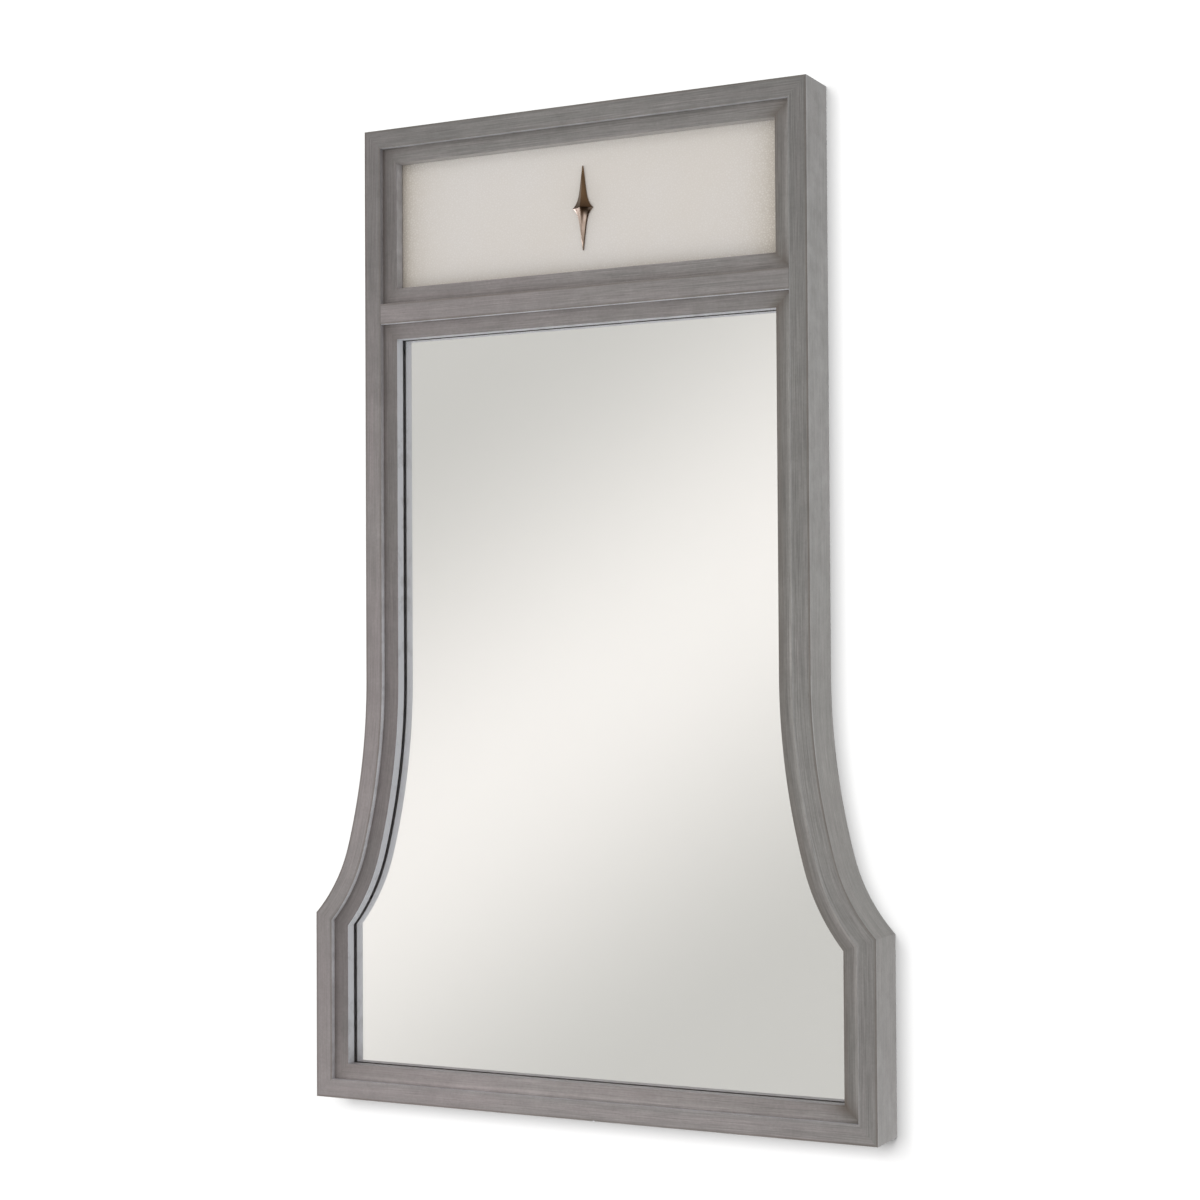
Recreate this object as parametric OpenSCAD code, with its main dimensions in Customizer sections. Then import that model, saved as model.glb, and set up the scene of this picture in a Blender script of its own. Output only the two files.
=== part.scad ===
// Tapered wall mirror. Straight narrow sides flare out to a wide base block; a leather panel with a
// star boss sits above the glass. The front faces -Y, the wall is the plane y = 0, and the origin lies
// on the wall, half way along the row of wall screws.

/* [Overall size] */
// Height of the frame
overall_h = 1480; // [1350:1:1650]
// Width across the straight upper sides
top_w = 728; // [660:1:780]
// Width across the base block
base_w = 913; // [870:1:1020]
// Depth from the wall to the front face
frame_d = 77; // [72:0.5:95]

/* [Flared sides] */
// Height of the base block, where each flare ends
shoulder_h = 282; // [220:1:340]
// Radius of the long upper curve of a flare
flare_r_upper = 985; // [800:5:1150]
// Angle through which the upper curve turns, in degrees
flare_turn = 15; // [11:0.5:17]
// Radius of the short lower curve of a flare
flare_r_lower = 245; // [200:1:300]

/* [Boards and liners] */
// Width of the flat front face of the outer boards
face_w = 28; // [24:0.5:34]
// Width of the flat front face of the middle rail
mid_face_w = 31; // [26:0.5:40]
// Depth of the middle rail
mid_d = 60; // [54:0.5:66]
// Visible width of a liner
liner_w = 23.5; // [19:0.5:30]
// Setback of the liner from the front face
liner_step = 9.2; // [5:0.1:12]
// Depth of a liner from its face to the glass
liner_t = 18; // [14:0.5:20]

/* [Mirror glass] */
// Thickness of the glass
glass_t = 6; // [4:0.5:8]
// Thickness of the silver and its paint
silver_t = 0.2; // [0.1:0.05:0.4]
// Thickness of the backing board
backing_t = 6; // [3:0.5:8]
// Room between the edge of the glass and the boards
glass_gap = 3; // [2:0.5:6]
// Length of a setting block under the glass
block_l = 60; // [30:1:100]
// Distance between the two setting blocks
block_pitch = 420; // [300:5:600]

/* [Leather panel] */
// Height of the leather that shows
panel_open_h = 192; // [160:1:230]
// Thickness of the board under the leather
panel_t = 12; // [9:0.5:15]
// Thickness of the leather
leather_t = 1.4; // [1:0.1:2]
// Leather turned over onto the back of the board
turn_in = 25; // [15:1:40]
// Room between the covered panel and the boards
panel_gap = 2; // [1:0.5:4]

/* [Star boss] */
// Height of the star from point to point
star_h = 125; // [90:1:150]
// Width of the star from point to point
star_w = 33; // [22:1:50]
// Rise of the star's centre above the leather
star_rise = 12; // [7:0.5:16]
// Thickness of the star at its edge
star_edge = 2.5; // [1.5:0.1:4]
// Diameter of the threaded stud
stud_d = 6; // [4:0.5:8]
// Radial room round the stud in the panel
stud_room = 0.3; // [0.2:0.05:0.6]
// Diameter of the washer
washer_d = 18; // [14:0.5:24]
// Thickness of the washer
washer_t = 1.5; // [1:0.1:2.5]
// Width of the nut across its flats
nut_af = 10; // [9:0.5:13]
// Thickness of the nut
nut_t = 5; // [4:0.5:6]

/* [Clips and joints] */
// Width of an angle clip
clip_w = 20; // [14:1:30]
// Length of each leg of an angle clip
clip_leg = 18; // [14:1:24]
// Thickness of the clip steel
clip_t = 1.5; // [1:0.1:2]
// Diameter of the wood screws that hold clips
screw_d = 3.5; // [3:0.1:4.5]
// Length of those screws under the head
screw_l = 16; // [12:0.5:20]
// Distance from a corner to the edge of the nearest clip
clip_corner = 45; // [30:1:60]
// Diameter of the joint dowels
dowel_d = 8; // [6:0.5:10]
// Length of the dowels in square joints
dowel_l = 36; // [28:1:40]
// Length of the dowels in mitred joints
mitre_dowel_l = 22; // [16:1:24]
// Leg length of the triangular glue blocks
glue_block = 45; // [30:1:70]

/* [Hanging parts] */
// Height of the hanging rail
rail_h = 80; // [70:1:100]
// Thickness of the hanging rail
rail_t = 18; // [15:0.5:20]
// Thickness of the aluminium of both cleats
cleat_t = 2.2; // [1.5:0.1:2.5]
// Depth taken up by the two cleats hooked together
cleat_d = 10; // [9:0.5:12]
// Length of the lips that hook over each other
cleat_lip = 12; // [9:0.5:16]
// Side play between the hooked lips
cleat_play = 0.3; // [0.1:0.05:0.6]
// Length of the cleat on the frame
frame_cleat_l = 500; // [450:1:600]
// Length of the cleat on the wall
wall_cleat_l = 480; // [440:1:600]
// Height of the flange of the frame cleat
frame_flange_h = 26; // [20:0.5:30]
// Height of the flange of the wall cleat
wall_flange_h = 32; // [28:0.5:40]
// Distance between the two wall screws
wall_screw_pitch = 406.4; // [300:0.1:420]
// Diameter of the wall screw holes
wall_hole_d = 5.5; // [4:0.1:7]
// Height of the wall screw holes above the wall flange's lower edge
wall_hole_up = 12; // [8:0.5:14]
// Diameter of the screws in the frame cleat
cleat_screw_d = 4.2; // [3.5:0.1:5]
// Distance from an end of the frame cleat to its first screw
cleat_screw_end = 30; // [15:1:60]

/* [Hidden] */

wood = [0.52, 0.50, 0.49];
liner_wood = [0.49, 0.46, 0.45];
raw_wood = [0.74, 0.62, 0.46];
board_brown = [0.55, 0.42, 0.30];
silver = [0.86, 0.87, 0.88];
steel = [0.62, 0.63, 0.64];
aluminium = [0.76, 0.77, 0.78];
bronze = [0.38, 0.29, 0.21];

curve_fn = 360;
round_fn = 48;
// What a cut runs past the face it opens, and the radial room round a dowel
cut = 1;
hole_fit = 0.05;
// Screw heads: widths at the seat and at the top, and height, each per width of the shank
head_low = 2;
head_top = 1.4;
head_high = 0.55;
// Shares of a board's depth at which its two dowels lie, and of a clip's leg at which its screw lies
dowel_share = 0.28;
screw_share = 0.6;
// The star's outline: half a straight taper and half a flare of this power, and the power of its ridges
star_taper = 0.5;
star_flare = 8;
star_ridge_power = 1.4;
star_steps = 11;
star_tip = 0.3;

// Places across and up the front, from the middle of the bottom edge
top_half = top_w / 2;
base_half = base_w / 2;
band = face_w + liner_w;
// Centres of the lower and upper curves of the right-hand flare
c2x = top_half + flare_r_upper - (flare_r_upper - flare_r_lower) * cos(flare_turn);
c2z = shoulder_h + sqrt(pow(flare_r_lower, 2) - pow(c2x - base_half, 2));
c1x = top_half + flare_r_upper;
c1z = c2z + (flare_r_upper - flare_r_lower) * sin(flare_turn);
// Where the two curves meet
meet_x = c1x - flare_r_upper * cos(flare_turn);
meet_z = c1z - flare_r_upper * sin(flare_turn);
// Height at which a line d inside the outline turns the corner of the base block
function shoulder_z(d) = c2z - sqrt(pow(flare_r_lower + d, 2) - pow(c2x - (base_half - d), 2));

inner_top = overall_h - face_w;
panel_top = overall_h - band;
panel_bottom = panel_top - panel_open_h;
mid_hi = panel_bottom - liner_w;
mid_lo = mid_hi - mid_face_w;
panel_mid = (panel_top + panel_bottom) / 2;

// Places in depth, from the front face at -frame_d to the wall at 0
front = -frame_d;
liner_front = front + liner_step;
seat = liner_front + liner_t;
glass_back = seat + glass_t;
silver_back = glass_back + silver_t;
backing_back = silver_back + backing_t;
board_front = seat + leather_t;
board_back = board_front + panel_t;
panel_back = board_back + leather_t;
washer_back = board_back + washer_t;
nut_back = washer_back + nut_t;
rail_back = -cleat_d;
rail_front = rail_back - rail_t;

// The hooked cleats
rail_bottom = inner_top - rail_h;
cleat_seat = inner_top - rail_h / 2 - frame_flange_h;
frame_web = cleat_seat + cleat_lip + cleat_play;
lip_gap = (cleat_d - 2 * cleat_t - cleat_play) / 2;
wall_flange_low = cleat_seat - wall_flange_h;
hang_z = wall_flange_low + wall_hole_up;

// Rows of evenly spaced places from a to b
function spread(a, b, n) = [for (i = [0:n - 1]) a + (b - a) * i / (n - 1)];

// Angle clips: x, z and the angle at which each points inwards, for the glass and for the panel
clip_clear = clip_corner + clip_w / 2;
stile_x = top_half - face_w;
base_x = base_half - face_w;
base_top = shoulder_z(face_w);
base_low = face_w + glue_block + clip_w;
glass_clips = concat(
    [for (z = spread(c1z + clip_clear, mid_lo - clip_clear, 3)) [stile_x, z, 180]],
    [for (z = spread(c1z + clip_clear, mid_lo - clip_clear, 3)) [-stile_x, z, 0]],
    [for (z = spread(base_low, base_top - clip_clear, 2)) [base_x, z, 180]],
    [for (z = spread(base_low, base_top - clip_clear, 2)) [-base_x, z, 0]],
    [for (x = spread(base_low - face_w - base_x, base_x + face_w - base_low, 4)) [x, face_w, 90]],
    [for (x = spread(clip_clear - stile_x, stile_x - clip_clear, 3)) [x, mid_lo, -90]]
);
panel_clip_low = mid_hi + clip_w * 1.5;
panel_clip_high = rail_bottom - clip_w * 1.5;
panel_clip_x = stile_x / 2;
panel_clips = concat(
    [for (z = [panel_clip_low, panel_clip_high]) [stile_x, z, 180]],
    [for (z = [panel_clip_low, panel_clip_high]) [-stile_x, z, 0]],
    [for (x = [-panel_clip_x, panel_clip_x]) [x, mid_hi, 90]]
);

// Dowels: x, z, the angle of the axis in the plane of the frame, the length and the two depths
square_rows = [front * dowel_share, front * (1 - dowel_share)];
mid_rows = [front + mid_d * dowel_share, front + mid_d * (1 - dowel_share)];
shoulder_fall = atan2(shoulder_h - base_top, face_w);
side_joints = [
    [top_half - face_w / 2, inner_top + face_w / 2, -45, mitre_dowel_l],
    [top_half - face_w / 2, c1z, 90, dowel_l],
    [base_half - face_w / 2, (shoulder_h + base_top) / 2, 90 + shoulder_fall, mitre_dowel_l],
    [base_half - face_w / 2, face_w / 2, 45, mitre_dowel_l]
];
mid_joint = [stile_x, (mid_lo + mid_hi) / 2, 0, dowel_l];
rail_joints = [for (f = [0.25, 0.75]) [stile_x, rail_bottom + rail_h * f, 0, dowel_l]];

// Frames the drawing: the origin is raised from the bottom edge to the wall screws
module hung() {
    translate([0, 0, -hang_z]) children();
}

// A flat outline drawn in x and z, made solid between two depths
module between(y_front, y_back) {
    translate([0, y_back, 0])
        rotate([90, 0, 0])
            linear_extrude(y_back - y_front)
                children();
}

module both_sides() {
    children();
    mirror([1, 0, 0]) children();
}

// One curved bar between two insets: it starts level with its centre, at the origin, and bends down
module flare_arc(radius, turn, d0, d1, y_front, y_back) {
    translate([radius, y_back, 0])
        rotate([90, 0, 0])
            rotate([0, 0, 180])
                rotate_extrude(angle = turn, $fn = curve_fn)
                    translate([radius + d0, 0])
                        square([d1 - d0, y_back - y_front]);
}

// The right-hand flare between two insets: a bar each way from where the curves meet, cut to the
// mitre at the shoulder
module flare_bar(d0, d1, y_front, y_back) {
    past_mitre = 12;
    lower_turn = acos((c2x - base_half) / flare_r_lower) + past_mitre - flare_turn;
    corner = [base_half - d0, shoulder_z(d0)];
    inner = [base_half - d1, shoulder_z(d1)];
    reach = (corner - inner) * 3;
    drop = [0, shoulder_h];
    difference() {
        translate([meet_x, 0, meet_z])
            rotate([0, -flare_turn, 0]) {
                flare_arc(flare_r_lower, lower_turn, d0, d1, y_front, y_back);
                mirror([0, 0, 1]) flare_arc(flare_r_upper, flare_turn, d0, d1, y_front, y_back);
            }
        between(y_front - cut, y_back + cut)
            polygon([inner - reach, corner + reach, corner + reach - drop, inner - reach - drop]);
    }
}

// The right-hand upright between two insets, mitred or square at its top
module stile_bar(d0, d1, z_low, y_front, y_back) {
    between(y_front, y_back)
        polygon([
            [top_half - d0, z_low],
            [top_half - d0, overall_h - d0],
            [top_half - d1, overall_h - d1],
            [top_half - d1, z_low]
        ]);
}

// The right-hand side of the base block between two insets
module base_bar(d0, d1, y_front, y_back) {
    between(y_front, y_back)
        polygon([
            [base_half - d0, d0],
            [base_half - d0, shoulder_z(d0)],
            [base_half - d1, shoulder_z(d1)],
            [base_half - d1, d1]
        ]);
}

// A level rail with 45 degree mitres: outer edge at z, inner edge toward "side" (+1 up, -1 down)
module rail_bar(half, z, width, side, y_front, y_back) {
    between(y_front, y_back)
        polygon([
            [-half, z],
            [half, z],
            [half - width, z + side * width],
            [-half + width, z + side * width]
        ]);
}

// The whole front outline, d inside the frame's outside
module face_outline(d) {
    half_outline(d);
    mirror([1, 0]) half_outline(d);
}

module half_outline(d) {
    difference() {
        polygon([
            [0, d],
            [base_half - d, d],
            [base_half - d, c1z],
            [top_half - d, c1z],
            [top_half - d, mid_lo - glass_gap],
            [0, mid_lo - glass_gap]
        ]);
        translate([c2x, c2z]) circle(flare_r_lower + d, $fn = curve_fn);
        intersection() {
            translate([c1x, c1z]) circle(flare_r_upper + d, $fn = curve_fn);
            translate([c1x, c1z])
                rotate(flare_turn)
                    translate([-2 * flare_r_upper, 0])
                        square(2 * flare_r_upper);
        }
    }
}

module dowel_at(joint, y, radius, length) {
    translate([joint[0], y, joint[1]])
        rotate([0, -joint[2], 0])
            rotate([0, 90, 0])
                cylinder(h = length, r = radius, center = true, $fn = round_fn);
}

// Every dowel, or with extra radius and length every dowel hole
module all_dowels(grow_r, grow_l) {
    both_sides() {
        for (joint = side_joints, y = square_rows)
            dowel_at(joint, y, dowel_d / 2 + grow_r, joint[3] + grow_l);
        for (y = mid_rows)
            dowel_at(mid_joint, y, dowel_d / 2 + grow_r, mid_joint[3] + grow_l);
        for (joint = rail_joints)
            dowel_at(joint, (rail_front + rail_back) / 2, dowel_d / 2 + grow_r, joint[3] + grow_l);
    }
}

// Places a clip or its screw: local +X points inwards, and y = 0 is the face that it presses on
module at_clip(site, y) {
    translate([site[0], y, site[1]])
        rotate([0, -site[2], 0])
            children();
}

module clip_screw_shank() {
    translate([clip_t, clip_leg * screw_share, 0])
        rotate([0, -90, 0])
            cylinder(h = screw_l, d = screw_d, $fn = round_fn);
}

module screw_holes(sites, y) {
    for (site = sites)
        at_clip(site, y)
            clip_screw_shank();
}

// A board of the outer frame with its dowel and screw holes
module bored() {
    difference() {
        children();
        all_dowels(hole_fit, cut);
        screw_holes(glass_clips, backing_back);
        screw_holes(panel_clips, panel_back);
    }
}

module top_rail() {
    color(wood) hung() bored() rail_bar(top_half, overall_h, face_w, -1, front, 0);
}

module bottom_rail() {
    color(wood) hung() bored() rail_bar(base_half, 0, face_w, 1, front, 0);
}

module middle_rail() {
    color(wood)
        hung()
            bored()
                translate([-stile_x, front, mid_lo])
                    cube([2 * stile_x, mid_d, mid_face_w]);
}

module right_stile() {
    color(wood) hung() bored() stile_bar(0, face_w, c1z, front, 0);
}

module left_stile() {
    mirror([1, 0, 0]) right_stile();
}

module right_flare() {
    color(wood) hung() bored() flare_bar(0, face_w, front, 0);
}

module left_flare() {
    mirror([1, 0, 0]) right_flare();
}

module right_base_stile() {
    color(wood) hung() bored() base_bar(0, face_w, front, 0);
}

module left_base_stile() {
    mirror([1, 0, 0]) right_base_stile();
}

module panel_liner_top() {
    color(liner_wood) hung() rail_bar(stile_x, inner_top, liner_w, -1, liner_front, seat);
}

module panel_liner_bottom() {
    color(liner_wood) hung() rail_bar(stile_x, mid_hi, liner_w, 1, liner_front, seat);
}

module panel_liner_right() {
    color(liner_wood)
        hung()
            between(liner_front, seat)
                polygon([
                    [stile_x, mid_hi],
                    [stile_x, inner_top],
                    [stile_x - liner_w, panel_top],
                    [stile_x - liner_w, panel_bottom]
                ]);
}

module panel_liner_left() {
    mirror([1, 0, 0]) panel_liner_right();
}

module mirror_liner_top() {
    color(liner_wood) hung() rail_bar(stile_x, mid_lo, liner_w, -1, liner_front, seat);
}

module mirror_liner_bottom() {
    color(liner_wood) hung() rail_bar(base_x, face_w, liner_w, 1, liner_front, seat);
}

module right_stile_liner() {
    color(liner_wood)
        hung()
            between(liner_front, seat)
                polygon([
                    [stile_x, c1z],
                    [stile_x, mid_lo],
                    [stile_x - liner_w, mid_lo - liner_w],
                    [stile_x - liner_w, c1z]
                ]);
}

module left_stile_liner() {
    mirror([1, 0, 0]) right_stile_liner();
}

module right_flare_liner() {
    color(liner_wood) hung() flare_bar(face_w, band, liner_front, seat);
}

module left_flare_liner() {
    mirror([1, 0, 0]) right_flare_liner();
}

module right_base_liner() {
    color(liner_wood) hung() base_bar(face_w, band, liner_front, seat);
}

module left_base_liner() {
    mirror([1, 0, 0]) right_base_liner();
}

module mirror_glass() {
    color(silver, 0.4) hung() between(seat, glass_back) face_outline(face_w + glass_gap);
}

module silver_coating() {
    color(silver) hung() between(glass_back, silver_back) face_outline(face_w + glass_gap);
}

module mirror_backing() {
    color(board_brown) hung() between(silver_back, backing_back) face_outline(face_w + glass_gap);
}

module setting_blocks() {
    color("dimgray")
        hung()
            for (x = [-block_pitch / 2, block_pitch / 2])
                translate([x - block_l / 2, seat, face_w])
                    cube([block_l, backing_back - seat, glass_gap]);
}

// The covered panel's outline, d inside its edge
module panel_block(d, y_front, y_back) {
    half = stile_x - panel_gap - d;
    low = mid_hi + panel_gap + d;
    high = inner_top - panel_gap - d;
    translate([-half, y_front, low])
        cube([2 * half, y_back - y_front, high - low]);
}

module stud_hole(radius) {
    translate([0, 0, panel_mid])
        rotate([90, 0, 0])
            cylinder(h = 3 * frame_d, r = radius, center = true, $fn = round_fn);
}

module panel_board() {
    color(board_brown)
        hung()
            difference() {
                panel_block(leather_t, board_front, board_back);
                stud_hole(stud_d / 2 + stud_room);
            }
}

module leather_cover() {
    color([0.82, 0.80, 0.76])
        hung()
            difference() {
                panel_block(0, seat, panel_back);
                panel_block(leather_t, board_front, board_back);
                panel_block(turn_in, board_back - cut / 2, panel_back + cut);
                stud_hole(stud_d / 2 + stud_room);
            }
}

// Half the star's width, and the height of its ridge, at a share u of the way to a long point
function star_half(u) =
    star_tip + (star_w / 2 - star_tip) * (star_taper * (1 - u) + (1 - star_taper) * pow(1 - u, star_flare));
function star_ridge(u) = star_edge + (star_rise - star_edge) * pow(1 - u, star_ridge_power);

module star_boss() {
    rows = [for (i = [-star_steps:star_steps]) sign(i) * pow(abs(i) / star_steps, 1.5)];
    points = [
        for (s = rows)
            let (u = abs(s), w = star_half(u), z = s * star_h / 2)
                for (p = [[-w, 0], [-w, star_edge], [0, star_ridge(u)], [w, star_edge], [w, 0]])
                    [p[0], -p[1], z]
    ];
    last = len(rows) - 1;
    faces = concat(
        [[0, 1, 2, 3, 4]],
        [for (r = [0:last - 1], k = [0:4])
            [r * 5 + k, (r + 1) * 5 + k, (r + 1) * 5 + (k + 1) % 5, r * 5 + (k + 1) % 5]],
        [[for (k = [4:-1:0]) last * 5 + k]]
    );
    stud_end = nut_back + 1;
    color(bronze)
        hung()
            translate([0, seat, panel_mid]) {
                polyhedron(points, faces, convexity = 4);
                rotate([-90, 0, 0])
                    translate([0, 0, -star_edge / 2])
                        cylinder(h = stud_end - seat + star_edge / 2, d = stud_d, $fn = round_fn);
            }
}

module boss_washer() {
    color(steel)
        hung()
            translate([0, washer_back, panel_mid])
                rotate([90, 0, 0])
                    difference() {
                        cylinder(h = washer_t, d = washer_d, $fn = round_fn);
                        translate([0, 0, -cut])
                            cylinder(h = washer_t + 2 * cut, r = stud_d / 2 + stud_room, $fn = round_fn);
                    }
}

module boss_nut() {
    color(steel)
        hung()
            translate([0, nut_back, panel_mid])
                rotate([90, 0, 0])
                    difference() {
                        cylinder(h = nut_t, d = nut_af / cos(30), $fn = 6);
                        translate([0, 0, -cut])
                            cylinder(h = nut_t + 2 * cut, d = stud_d, $fn = round_fn);
                    }
}

module angle_clip() {
    difference() {
        translate([0, 0, -clip_w / 2]) {
            cube([clip_t, clip_leg, clip_w]);
            cube([clip_leg, clip_t, clip_w]);
        }
        clip_screw_shank();
    }
}

module retaining_clips() {
    color(steel)
        hung() {
            for (site = glass_clips) at_clip(site, backing_back) angle_clip();
            for (site = panel_clips) at_clip(site, panel_back) angle_clip();
        }
}

// A screw head that stands on z = 0
module screw_head(d) {
    cylinder(h = d * head_high, d1 = d * head_low, d2 = d * head_top, $fn = round_fn);
}

module clip_screw() {
    clip_screw_shank();
    translate([clip_t, clip_leg * screw_share, 0])
        rotate([0, 90, 0])
            screw_head(screw_d);
}

module clip_screws() {
    color(steel)
        hung() {
            for (site = glass_clips) at_clip(site, backing_back) clip_screw();
            for (site = panel_clips) at_clip(site, panel_back) clip_screw();
        }
}

module joint_dowels() {
    color(raw_wood) hung() all_dowels(0, 0);
}

module glue_blocks() {
    color(raw_wood)
        hung()
            both_sides()
                between(backing_back, -cleat_d / 2)
                    polygon([
                        [base_x, face_w],
                        [base_x - glue_block, face_w],
                        [base_x, face_w + glue_block]
                    ]);
}

frame_cleat_screw_x = spread(cleat_screw_end - frame_cleat_l / 2, frame_cleat_l / 2 - cleat_screw_end, 4);
frame_cleat_screw_z = frame_web + cleat_t + frame_flange_h / 2;

module frame_cleat_screw_at(x) {
    translate([x, rail_back + cleat_t, frame_cleat_screw_z])
        rotate([90, 0, 0])
            cylinder(h = screw_l, d = cleat_screw_d, $fn = round_fn);
}

module hanging_rail() {
    color(raw_wood)
        hung()
            difference() {
                translate([-stile_x, rail_front, rail_bottom])
                    cube([2 * stile_x, rail_t, rail_h]);
                all_dowels(hole_fit, cut);
                for (x = frame_cleat_screw_x) frame_cleat_screw_at(x);
            }
}

// A bar with the cleat's profile of depth and height
module cleat_bar(length, outline) {
    translate([-length / 2, 0, 0])
        rotate([90, 0, 90])
            linear_extrude(length)
                polygon(outline);
}

// The half on the frame: a flange above, a web, and a lip that points down behind the wall half's lip
module frame_cleat() {
    lip_front = -lip_gap - cleat_t;
    color(aluminium)
        hung()
            difference() {
                cleat_bar(frame_cleat_l, [
                    [rail_back, frame_web],
                    [lip_front, frame_web],
                    [lip_front, cleat_seat],
                    [-lip_gap, cleat_seat],
                    [-lip_gap, frame_web + cleat_t],
                    [rail_back + cleat_t, frame_web + cleat_t],
                    [rail_back + cleat_t, frame_web + cleat_t + frame_flange_h],
                    [rail_back, frame_web + cleat_t + frame_flange_h]
                ]);
                for (x = frame_cleat_screw_x) frame_cleat_screw_at(x);
            }
}

module frame_cleat_screws() {
    color(steel)
        hung()
            for (x = frame_cleat_screw_x) {
                frame_cleat_screw_at(x);
                translate([x, rail_back + cleat_t, frame_cleat_screw_z])
                    rotate([-90, 0, 0])
                        screw_head(cleat_screw_d);
            }
}

// The half on the wall: a flange below with the two screw holes, a web, and a lip that points up
module wall_cleat() {
    lip_back = -lip_gap - cleat_t - cleat_play;
    color(aluminium)
        hung()
            difference() {
                cleat_bar(wall_cleat_l, [
                    [0, cleat_seat],
                    [lip_back, cleat_seat],
                    [lip_back, cleat_seat + cleat_lip],
                    [lip_back - cleat_t, cleat_seat + cleat_lip],
                    [lip_back - cleat_t, cleat_seat - cleat_t],
                    [-cleat_t, cleat_seat - cleat_t],
                    [-cleat_t, wall_flange_low],
                    [0, wall_flange_low]
                ]);
                for (x = [-wall_screw_pitch / 2, wall_screw_pitch / 2])
                    translate([x, cut, hang_z])
                        rotate([90, 0, 0])
                            cylinder(h = cleat_d, d = wall_hole_d, $fn = round_fn);
            }
}

top_rail();
middle_rail();
bottom_rail();
left_stile();
right_stile();
left_flare();
right_flare();
left_base_stile();
right_base_stile();
panel_liner_top();
panel_liner_bottom();
panel_liner_left();
panel_liner_right();
mirror_liner_top();
mirror_liner_bottom();
left_stile_liner();
right_stile_liner();
left_flare_liner();
right_flare_liner();
left_base_liner();
right_base_liner();
mirror_glass();
silver_coating();
mirror_backing();
setting_blocks();
panel_board();
leather_cover();
star_boss();
boss_washer();
boss_nut();
retaining_clips();
clip_screws();
joint_dowels();
glue_blocks();
hanging_rail();
frame_cleat();
frame_cleat_screws();
wall_cleat();
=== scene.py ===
"""Tapered wall mirror: detailed pieces, finishes and studio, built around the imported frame.

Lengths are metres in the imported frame: the front faces -Y, the wall is y = 0, z = 0 is the row of wall
screws. A piece is a grid of points worked out with numpy, one row of points for each place along it.
"""

import math

import bmesh
import bpy
import numpy as np
from mathutils import Matrix, Vector


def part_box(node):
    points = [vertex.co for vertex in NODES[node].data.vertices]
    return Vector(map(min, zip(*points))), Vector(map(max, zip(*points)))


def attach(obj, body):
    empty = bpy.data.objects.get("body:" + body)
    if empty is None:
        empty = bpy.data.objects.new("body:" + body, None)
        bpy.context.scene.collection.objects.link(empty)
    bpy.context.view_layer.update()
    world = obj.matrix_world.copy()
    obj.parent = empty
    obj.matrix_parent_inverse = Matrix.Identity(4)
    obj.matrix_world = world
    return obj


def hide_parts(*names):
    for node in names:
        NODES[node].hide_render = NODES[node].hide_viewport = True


bl_info = {
    "name": "Tapered wall mirror",
    "version": (1, 0, 0),
    "blender": (4, 5, 0),
    "location": "3D View > Sidebar > Wall mirror",
    "description": "Builds the pieces, finishes and studio of a tapered wall mirror",
    "category": "Object",
}

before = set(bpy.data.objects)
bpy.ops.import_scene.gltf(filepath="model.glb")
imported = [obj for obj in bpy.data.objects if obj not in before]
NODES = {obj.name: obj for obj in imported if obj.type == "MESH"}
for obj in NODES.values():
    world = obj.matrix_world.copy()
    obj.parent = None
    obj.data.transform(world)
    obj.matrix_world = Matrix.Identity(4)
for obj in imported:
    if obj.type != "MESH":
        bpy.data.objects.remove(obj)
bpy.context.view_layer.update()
MM = 0.001


def low(node, axis):
    """Lowest place of a CAD node along an axis, 0 to 2."""
    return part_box(node)[0][axis]


def high(node, axis):
    """Highest place of a CAD node along an axis, 0 to 2."""
    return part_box(node)[1][axis]


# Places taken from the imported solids
FRONT = low("top_rail", 1)
TOP = high("top_rail", 2)
BOTTOM = low("bottom_rail", 2)
TOP_HALF = high("right_stile", 0)
BASE_HALF = high("bottom_rail", 0)
FACE_W = high("bottom_rail", 2) - BOTTOM
STRAIGHT_LOW = low("right_stile", 2)
LINER_FRONT = low("mirror_liner_top", 1)
SEAT = high("mirror_liner_top", 1)
BAND = high("mirror_liner_bottom", 2) - BOTTOM
LINER_W = BAND - FACE_W
MID_LOW = low("middle_rail", 2)
MID_HIGH = high("middle_rail", 2)
MID_BACK = high("middle_rail", 1)
STILE_X = TOP_HALF - FACE_W
BASE_X = BASE_HALF - FACE_W
INNER_TOP = TOP - FACE_W
INNER_LOW = BOTTOM + FACE_W
PANEL_MID = (low("star_boss", 2) + high("star_boss", 2)) / 2

# Rows of points along a long, a short and a curved bar, and steps round an arris
LONG, SHORT, CURVED = 40, 24, 96
ARC_STEPS = 5

# Distances from an arris at which a side has extra points, because the finish changes there
CLOSE_BY = np.array([0.001, 0.002, 0.0032, 0.005, 0.008])

# A point is on a face while it is within ON_FACE of it, and on the wall behind from PAST_FACE on
ON_FACE, PAST_FACE = 0.5 * MM, 0.6 * MM

# Rows of points up the flared part of the glass and up the star, and points round a screw and a nut
PLATE_ROWS, STAR_ROWS, SCREW_ROUND, NUT_ROUND = 90, 121, 16, 96

# The angles past which an edge stays sharp, on all pieces and on the star
SHARP, STAR_SHARP = math.radians(40), math.radians(12)

# Millimetres over which a bar's face grows darker towards its end, and over which its tone, cast,
# painted light and painted shade turn into the next bar's at a mitre
END_REACH, CORNER_REACH = 14, 20

# Metres by which the grain of each line of bars is moved, so that no two show the same stretch of it
BOARD_GAP, LEFT_BOARDS, MIDDLE_BOARD = 1.7, 3.0, 6.0
LINER_START, LINER_GAP, RIGHT_LINERS, LEFT_LINERS = 20.0, 1.3, 9.0, 12.0

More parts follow.
